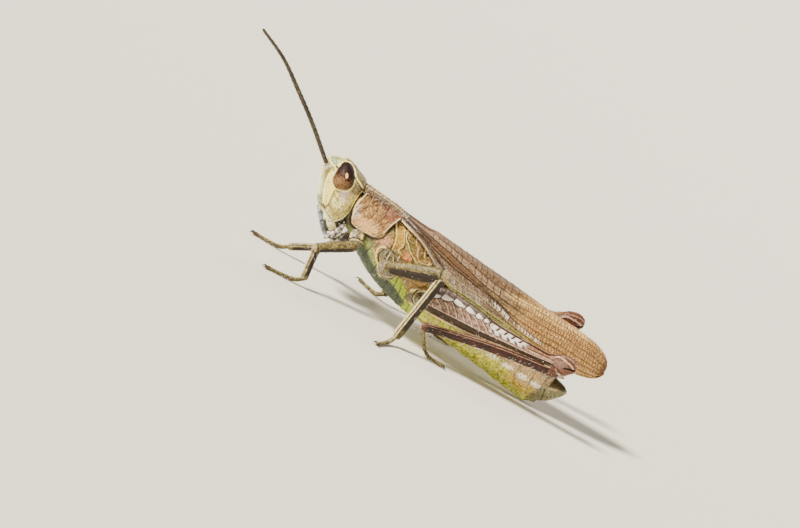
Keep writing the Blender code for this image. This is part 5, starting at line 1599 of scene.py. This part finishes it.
def makeShin(name, paint):
    knee, ankle = legPoints(name)[2:4]
    start = knee + np.array([-0.1, 0, -0.62])
    way = (ankle - start) / np.linalg.norm(ankle - start)
    middle = (start + ankle) / 2 + np.array([0, 0, 0.16])
    radii = [(0, 0.22), (0.05, 0.25), (0.1, 0.22), (0.5, 0.205), (0.9, 0.19), (0.97, 0.2), (1, 0.17)]
    rings, share, angle = tubeRings([start, middle, ankle], radii, *legSize["shin"], flatten=1.4)
    rise = np.cos(angle)
    keel = unit(sum(near(rise, at, 0.05) for at in (0.9, 0.55)))
    height = 0.02 * keel - 0.02 * near(share, 0.085, 0.01)
    # the lower half keeps the near-black ground: the shin's own dark tan and painted shade
    masks = {"pale": keel, "fill": fade(rise, 0.22, 0.32),
             "joint": unit((1 - fade(share, 0.06, 0.12)) + fade(share, 0.95, 0.99)),
             "darkLine": near(share, 0.085, 0.01)}
    scatterHairs("shin", rings, 0.3 + fade(-np.cos(angle), 0, 0.8), way * 0.6)
    addShell("spined_shin_" + name[5:], [domed(raised(rings, height), 0.08, 0.08, masks)], paint,
             ["hind_tibia_" + name[5:]])
    down = np.cross(way, (0, 1, 0))
    down = down * (-1 if down[2] > 0 else 1)
    for row, turn in ((0, -1), (1, 1)):  # two rows of spines along the underside, longer toward the foot
        for k in range(12):
            at = 0.18 + 0.8 * k / 11 + 0.02 * row
            root = start + (ankle - start) * min(at, 0.985) + down * 0.12
            lie = down * 0.75 + np.array([0, 1, 0]) * turn * 0.55 + way * 0.55
            bristles["spine"].append((root, lie, 0.34 + 0.12 * at, 0.042, at, row))
    for turn in (-1, 1):  # spurs at the ankle
        for length, drop in ((0.55, 0.5), (0.42, 0.2)):
            lie = way * 0.9 + down * drop + np.array([0, 1, 0]) * turn * 0.5
            bristles["spine"].append((ankle - way * 0.03 + down * 0.08, lie, length, 0.05, 0.95, 1))


# three-segment foot with pads, two claws and the pad between them
def makeFoot(name, paint):
    path = legPoints(name)[3:]
    total = sum(np.linalg.norm(b - a) for a, b in zip(path[:-1], path[1:]))
    r = legSize["footRadius"]
    radii = [(0, r * 0.85), (0.2, r), (0.45, r * 0.92), (0.8, r * 0.72), (1, r * 0.95)]
    rings, share, angle = tubeRings(path, radii, *legSize["foot"])
    joint = strongest(near((share - at) * total, 0, 0.045) for at in (0.4, 0.55))
    under = fade(-np.cos(angle), 0.2, 0.9)
    height = -0.045 * joint
    # painted shade: the foot darkens on its underside and toward its tip
    masks = {"joint": joint * 0.3, "darkLine": joint, "shadow": 0.5 * fade(share, 0.3, 1.0) + 0.3 * under,
             "cream": 0.5 * near(np.sin(angle / 2), 0, 0.3) * (1 - joint), "paintedShade": 0.5 * under}
    shells = [domed(raised(rings, height), 0.05, 0.05, masks)]
    scatterHairs("foot", rings, 1 - fade(-np.cos(angle), -0.7, -0.1), (path[-1] - path[0]) / total * 0.6)
    tip = path[-1]
    way = path[-1] - path[-2]
    way = way / np.linalg.norm(way)
    sideways = np.cross(way, (0, 0, 1))
    for turn in (-1, 1):
        claw = [tip + sideways * turn * 0.03, tip + way * 0.16 + sideways * turn * 0.12 + np.array([0, 0, 0.05]),
                tip + way * 0.3 + sideways * turn * 0.17 - np.array([0, 0, 0.06])]
        tube, share = tubeRings(claw, [(0, 0.055), (0.5, 0.042), (1, 0.012)], *legSize["claw"])[:2]
        shells.append(domed(tube, 0.01, 0.01, {"darkLine": fade(share, 0.1, 0.6)}))
    pad = [tip + way * 0.02 - np.array([0, 0, 0.02]), tip + way * 0.14 - np.array([0, 0, 0.03])]
    tube, share = tubeRings(pad, [(0, 0.06), (0.6, 0.085), (1, 0.05)], *legSize["pad"])[:2]
    shells.append(domed(tube, 0.02, 0.03, {"joint": np.full(share.shape, 0.6)}))
    front, hand = name.split("_")
    addShell("clawed_foot_" + name, shells, paint, [front + "_tarsus_" + hand])


def makeWalkingLeg(name, paint):
    hip, knee, ankle = legPoints(name)[1:4]
    front, hand = name.split("_")
    way = (knee - hip) / np.linalg.norm(knee - hip)
    stations = midStations if front == "mid" else walkStations
    rings, share, high, out = limbRings(hip - way * 0.1, knee + way * 0.26, (0, 0, 1), stations,
                                        *legSize["walkingThigh"], 0.03)
    around = np.arctan2(out, high)
    keels = np.cos(around * 5) ** 6
    under = fade(-high, -0.06, 0.06)
    ends = near(share, 0.9, 0.012)
    height = 0.018 * keels * hump(share, 0.08, 0.15, 0.86, 0.92) - 0.03 * ends
    # painted shade on the thigh's underside
    masks = {"paintedShade": under * hump(share, 0.05, 0.12, 0.84, 0.9), "mottled": 1 - under,
             "cream": unit((0.15 * keels * fade(high, 0.1, 0.5)) + 0.3 * fade(share, 0.9, 0.95)),
             "joint": fade(share, 0.92, 0.97), "darkLine": 0.8 * ends + (1 - fade(share, 0.03, 0.06)) * 0.4}
    scatterHairs("walkingThigh", rings, 1 - 0.9 * under, way * 0.5)
    addShell("walking_thigh_" + name, [domed(raised(rings, height), 0.04, 0.06, masks)], paint,
             [front + "_femur_" + hand])

    shin = (ankle - knee) / np.linalg.norm(ankle - knee)
    r = 0.17 if front == "mid" else 0.15
    path = [knee + shin * 0.06, (knee + ankle) / 2, ankle]
    radii = [(0, r * 0.9), (0.06, r * 1.15), (0.14, r), (0.6, r * 0.95), (0.93, r * 1.0), (1, r * 0.85)]
    flatten = 1.7 if front == "mid" else 1.5
    rings, share, angle = tubeRings(path, radii, *legSize["walkingShin"], (1, 0, 0.3), flatten)
    rearward = np.cos(angle)
    keels = unit(near(rearward, -0.86, 0.13) + near(rearward, -0.34, 0.11))
    height = 0.022 * keels * hump(share, 0.1, 0.16, 0.9, 0.95)
    # painted shade: the rear half of the shin is darkened
    dark = fade(rearward, -0.2, -0.08) * (1.0 if front == "mid" else 0.9)
    masks = {"cream": keels * (1 - dark) * (1.0 if front == "mid" else 0.5),
             "shadow": 0.6 * (1 - keels) * (1 - dark),
             "paintedShade": dark * (1 - fade(share, 0.8, 0.97)), "joint": 1 - fade(share, 0.03, 0.06),
             "darkLine": 0.7 * near(share, 0.11, 0.012)}
    scatterHairs("walkingShin", rings, 1 - 0.9 * dark, shin * 0.6)
    addShell("walking_shin_" + name, [domed(raised(rings, height), 0.05, 0.05, masks)], paint,
             [front + "_tibia_" + hand])
    for turn in (-1, 1):
        for k in range(6):
            at = 0.35 + 0.62 * k / 5
            root = knee + (ankle - knee) * at
            lie = shin * 0.8 + np.cross(shin, (0, 1, 0)) * 0.4 + np.array([0, 1, 0]) * turn * 0.6
            bristles["spine"].append((root, lie, 0.26, 0.028, at, k))


def makeCoxa(name, paint):
    coxa, hip = legPoints(name)[:2]
    front, hand = name.split("_")
    size = legSize["hip"][front]
    stations = [(s[0], s[1] * size, s[2] * size, s[3] * size, s[4]) for s in coxaStations]
    rings, share, high, out = limbRings(coxa, hip, (1, 0, 0), stations, *legSize["hipPlate"])
    around = np.arctan2(out, high)
    fold = near(share, 0.62, 0.035)
    plate = np.cos(around * 2 + 0.6) ** 8 * hump(share, 0.1, 0.3, 0.55, 0.62)
    height = -0.035 * fold + 0.03 * plate
    masks = {"greyPlate": np.full(share.shape, 0.95), "darkLine": unit(fold * 0.9 + 0.5 * near(share, 0.8, 0.03)),
             "cream": unit(plate + 0.7 * near(share, 0.7, 0.035))}
    addShell("hip_plate_" + name, [domed(raised(rings, height), 0.03, 0.05, masks)], paint,
             [front + "_coxa_" + hand])


def makeLegs():
    thighPaint = cuticle("polishedThighCuticle", thighLook)
    shinPaint = cuticle("tannedShinCuticle", shinLook)
    legPaint = cuticle("keeledLegCuticle", legLook)
    hipPaint = cuticle("hipPlateCuticle", thoraxLook)
    for name in legPlan:
        makeCoxa(name, hipPaint)
        if name.startswith("hind"):
            makeThigh(name, thighPaint)
            makeShin(name, shinPaint)
        else:
            makeWalkingLeg(name, legPaint)
        makeFoot(name, legPaint)


makeLegs()
print("legs: done")


def spineTree():  # one thorn on every point, turned along the point's own way and sized by it
    tree, names, given = startTree("thornsOnPoints", [
        ("Points", "Geometry"), ("Sides", "Int"), ("Steps", "Int"), ("Bend", "Float"), ("Material", "Material")])
    thorn = addNode(tree, "GeometryNodeMeshCone", {"Radius Top": 0.1, "Radius Bottom": 1.0, "Depth": 1.0},
                    {"Vertices": given["Sides"], "Side Segments": given["Steps"]})
    place = addNode(tree, "GeometryNodeInputPosition")
    up = addNode(tree, "SeparateXYZ", links={0: place}).outputs["Z"]
    square = addNode(tree, "Math", links={0: up, 1: up}, operation="MULTIPLY")
    push = addNode(tree, "Math", links={0: square, 1: given["Bend"]}, operation="MULTIPLY")
    offset = addNode(tree, "CombineXYZ", links={"X": push})
    bent = addNode(tree, "GeometryNodeSetPosition", links={"Geometry": thorn, "Offset": offset})
    tipward = addNode(tree, "GeometryNodeStoreNamedAttribute", {"Name": "tipward"},
                      {"Geometry": bent, "Value": up}, data_type="FLOAT", domain="POINT")
    way, size = (addNode(tree, "GeometryNodeInputNamedAttribute", {"Name": name}, data_type="FLOAT_VECTOR")
                 for name in ("way", "size"))
    turned = addNode(tree, "FunctionNodeAlignRotationToVector", links={"Vector": way}, axis="Z")
    copies = addNode(tree, "GeometryNodeInstanceOnPoints",
                     links={"Points": given["Points"], "Instance": tipward, "Rotation": turned, "Scale": size})
    endTree(tree, given, copies)
    return tree, names


def thornMaterial(name, low, tip, roughness):  # smooth horny thorn: one colour at the root and another at the tip
    material, tree = newMaterial(name)
    tipward = addNode(tree, "Attribute", attribute_name="tipward").outputs["Fac"]
    place = addNode(tree, "TexCoord").outputs["Object"]
    cloud = addNode(tree, "TexNoise", {"Scale": 1000 / bristleLook["mottle"]}, {"Vector": place})
    wave = addNode(tree, "Math", {1: 0.3}, {0: cloud, 2: tipward}, operation="MULTIPLY_ADD")
    ramp = addNode(tree, "ValToRGB", links={"Fac": wave})
    fillRamp(ramp, (0.55, 0.95), (low, tip))
    shader = addNode(tree, "BsdfPrincipled", {"Roughness": roughness, "IOR": 1.55}, {"Base Color": ramp})
    addNode(tree, "OutputMaterial", links={"Surface": shader})
    return material


def makeThorns(name, rows, paint, sides, steps, bend):
    tree, names = spineTree()
    mesh = bpy.data.meshes.new(name)
    mesh.from_pydata([tuple(p) for p in toWorld([r[0] for r in rows])], [], [])
    ways = lean([r[1] / np.linalg.norm(r[1]) for r in rows])
    sizes = np.array([(r[3], r[3], r[2]) for r in rows]) * 0.001
    mesh.attributes.new("way", "FLOAT_VECTOR", "POINT").data.foreach_set("vector", ways.astype(np.float32).ravel())
    mesh.attributes.new("size", "FLOAT_VECTOR", "POINT").data.foreach_set("vector",
                                                                          sizes.astype(np.float32).ravel())
    made = grow(name, mesh, tree, names, {"Sides": sides, "Steps": steps, "Bend": bend, "Material": paint})
    # on the unwrap each thorn has a small patch of its own at its root's place
    corners = np.zeros(len(made.loops), np.int32)
    made.loops.foreach_get("vertex_index", corners)
    perThorn = len(made.vertices) // len(rows)
    which = corners // perThorn
    inThorn = corners % perThorn
    local = np.stack([(inThorn % sides) / sides, inThorn / perThorn], 1) * bristleLook["patch"]
    root = np.array([(r[4], r[5]) for r in rows])[which]
    layer = made.uv_layers.new(name="OFBake")
    layer.data.foreach_set("uv", (root * 0.996 + local).astype(np.float32).ravel())
    return addPiece(name, made, paint)


bristleLook = {  # colour at the root and at the tip
    "spine": ("#c9a27c", "#1c0f08"), "hair": ("#e9dfc8", "#f7f3ea"),
    "mottle": 0.12, "patch": 0.003,  # mm of the mottling, and how wide a thorn's patch is on the unwrap
}
# the spines get places of their own on the unwrap
spines = [row[:4] + (row[4] % 1.0, (k % 97) / 97) for k, row in enumerate(bristles["spine"])]
thornPaint = thornMaterial("hornyThorn", *bristleLook["spine"], 0.35)
makeThorns("leg_spines", spines, thornPaint, 8, 5, 0.0)
hairPaint = thornMaterial("fineWhiteHair", *bristleLook["hair"], 0.45)
makeThorns("fine_hairs", bristles["hair"], hairPaint, 4, 4, 0.25)
print("spines and hairs: done", len(spines), len(bristles["hair"]))

cameraLook = {
    "turn": 12.0,  # degrees that the view comes from ahead of square on to the left side
    "rise": 12.0,  # degrees above the insect's own level
    "roll": 35.5,  # degrees that the insect's back slopes down across the view
    "width": 46.0,  # mm across the view
    "distance": 280.0,
    "aim": (1.8975, -4.715),  # mm right and up from the front edge of the pronotum
}


def makeCamera():
    a = math.radians(cameraLook["turn"])
    b = math.radians(cameraLook["rise"])
    roll = math.radians(cameraLook["roll"])
    toward = np.array([-math.cos(b) * math.sin(a), -math.cos(b) * math.cos(a), math.sin(b)])
    level = np.array([1.0, 0, 0]) - toward[0] * toward
    level = level / np.linalg.norm(level)
    square = np.cross(toward, level)
    right = math.cos(roll) * level + math.sin(roll) * square
    up = -math.sin(roll) * level + math.cos(roll) * square
    aim = right * cameraLook["aim"][0] + up * cameraLook["aim"][1]
    place = toWorld([aim + toward * cameraLook["distance"]])[0]
    axes = np.array([lean(right)[0], lean(up)[0], lean(toward)[0]]).T
    data = bpy.data.cameras.new("viewCamera")
    data.sensor_width = 36.0
    data.lens = data.sensor_width * cameraLook["distance"] / cameraLook["width"]
    data.clip_start = 0.01
    data.clip_end = 20.0
    camera = linked("viewCamera", data)
    camera.matrix_world = Matrix.Translation(Vector(place)) @ Matrix(axes.tolist()).to_4x4()
    bpy.context.scene.camera = camera
    return axes


stageLook = {
    "floor": "#f1efe7", "sky": "#e6e9ee", "skyStrength": 0.13,
    "radius": 2.5, "wall": 1.1,  # metres to where the floor curves up, and the height it reaches
    "middle": (6.0, 0.0, -2.5),  # mm, the place of the body that the lights stand round
}


def makeFloor():  # a matt paper floor that curves up far away all round
    turn = np.linspace(0, 2 * math.pi, 64, endpoint=False)
    sweep = np.linspace(0, math.pi / 2, 9)
    radii = [0.4, 1.2] + [stageLook["radius"] + stageLook["wall"] * math.sin(s) * 0.6 for s in sweep]
    heights = [0, 0] + [stageLook["wall"] * (1 - math.cos(s)) for s in sweep]
    points = [(0, 0, 0)] + [(r * math.cos(t), r * math.sin(t), h) for r, h in zip(radii, heights) for t in turn]
    count = len(turn)
    faces = [(0, 1 + k, 1 + (k + 1) % count) for k in range(count)]
    for ring in range(len(radii) - 1):
        base = 1 + ring * count
        for k in range(count):
            nextOne = (k + 1) % count
            faces.append((base + k, base + count + k, base + count + nextOne, base + nextOne))
    mesh = bpy.data.meshes.new("paperFloor")
    mesh.from_pydata(points, [], faces)
    mesh.polygons.foreach_set("use_smooth", np.ones(len(mesh.polygons), bool))
    floor = linked("paper_floor", mesh)
    material, tree = newMaterial("mattPaper")
    shader = addNode(tree, "BsdfPrincipled", {"Base Color": hexColour(stageLook["floor"]), "Roughness": 0.9})
    addNode(tree, "OutputMaterial", links={"Surface": shader})
    mesh.materials.append(material)


lightLook = {  # place in mm right, up and toward the camera; disk size in mm or sun angle in degrees; strength
    "fill": {"place": (-200, -10, 240), "size": 220, "power": 0.12, "colour": "#e9f0ff"},
    "rim": {"place": (220, 200, -160), "size": 160, "power": 0.4, "colour": "#fff1dc"},
    "softSun": {"place": (-70, 230, 150), "angle": 12.0, "power": 9.4, "colour": "#fff4e2"},
}


def makeLights(axes):
    world = bpy.data.worlds.new("softSky")
    world.use_nodes = True
    background = world.node_tree.nodes["Background"]
    background.inputs["Color"].default_value = hexColour(stageLook["sky"])
    background.inputs["Strength"].default_value = stageLook["skyStrength"]
    bpy.context.scene.world = world
    middle = toWorld([stageLook["middle"]])[0]
    for name, look in lightLook.items():
        data = bpy.data.lights.new(name, "SUN" if "angle" in look else "AREA")
        lamp = linked(name, data)
        if "angle" in look:
            data.angle = math.radians(look["angle"])
        else:
            data.shape = "DISK"
            data.size = look["size"] * 0.001
            lamp.visible_camera = False
        data.energy = look["power"]
        data.color = hexColour(look["colour"])[:3]
        toward = axes @ np.array(look["place"]) * 0.001
        turn = Vector(toward).to_track_quat("Z", "Y").to_matrix().to_4x4()
        lamp.matrix_world = Matrix.Translation(middle + toward) @ turn


viewAxes = makeCamera()
makeFloor()
makeLights(viewAxes)
print("stage: done")
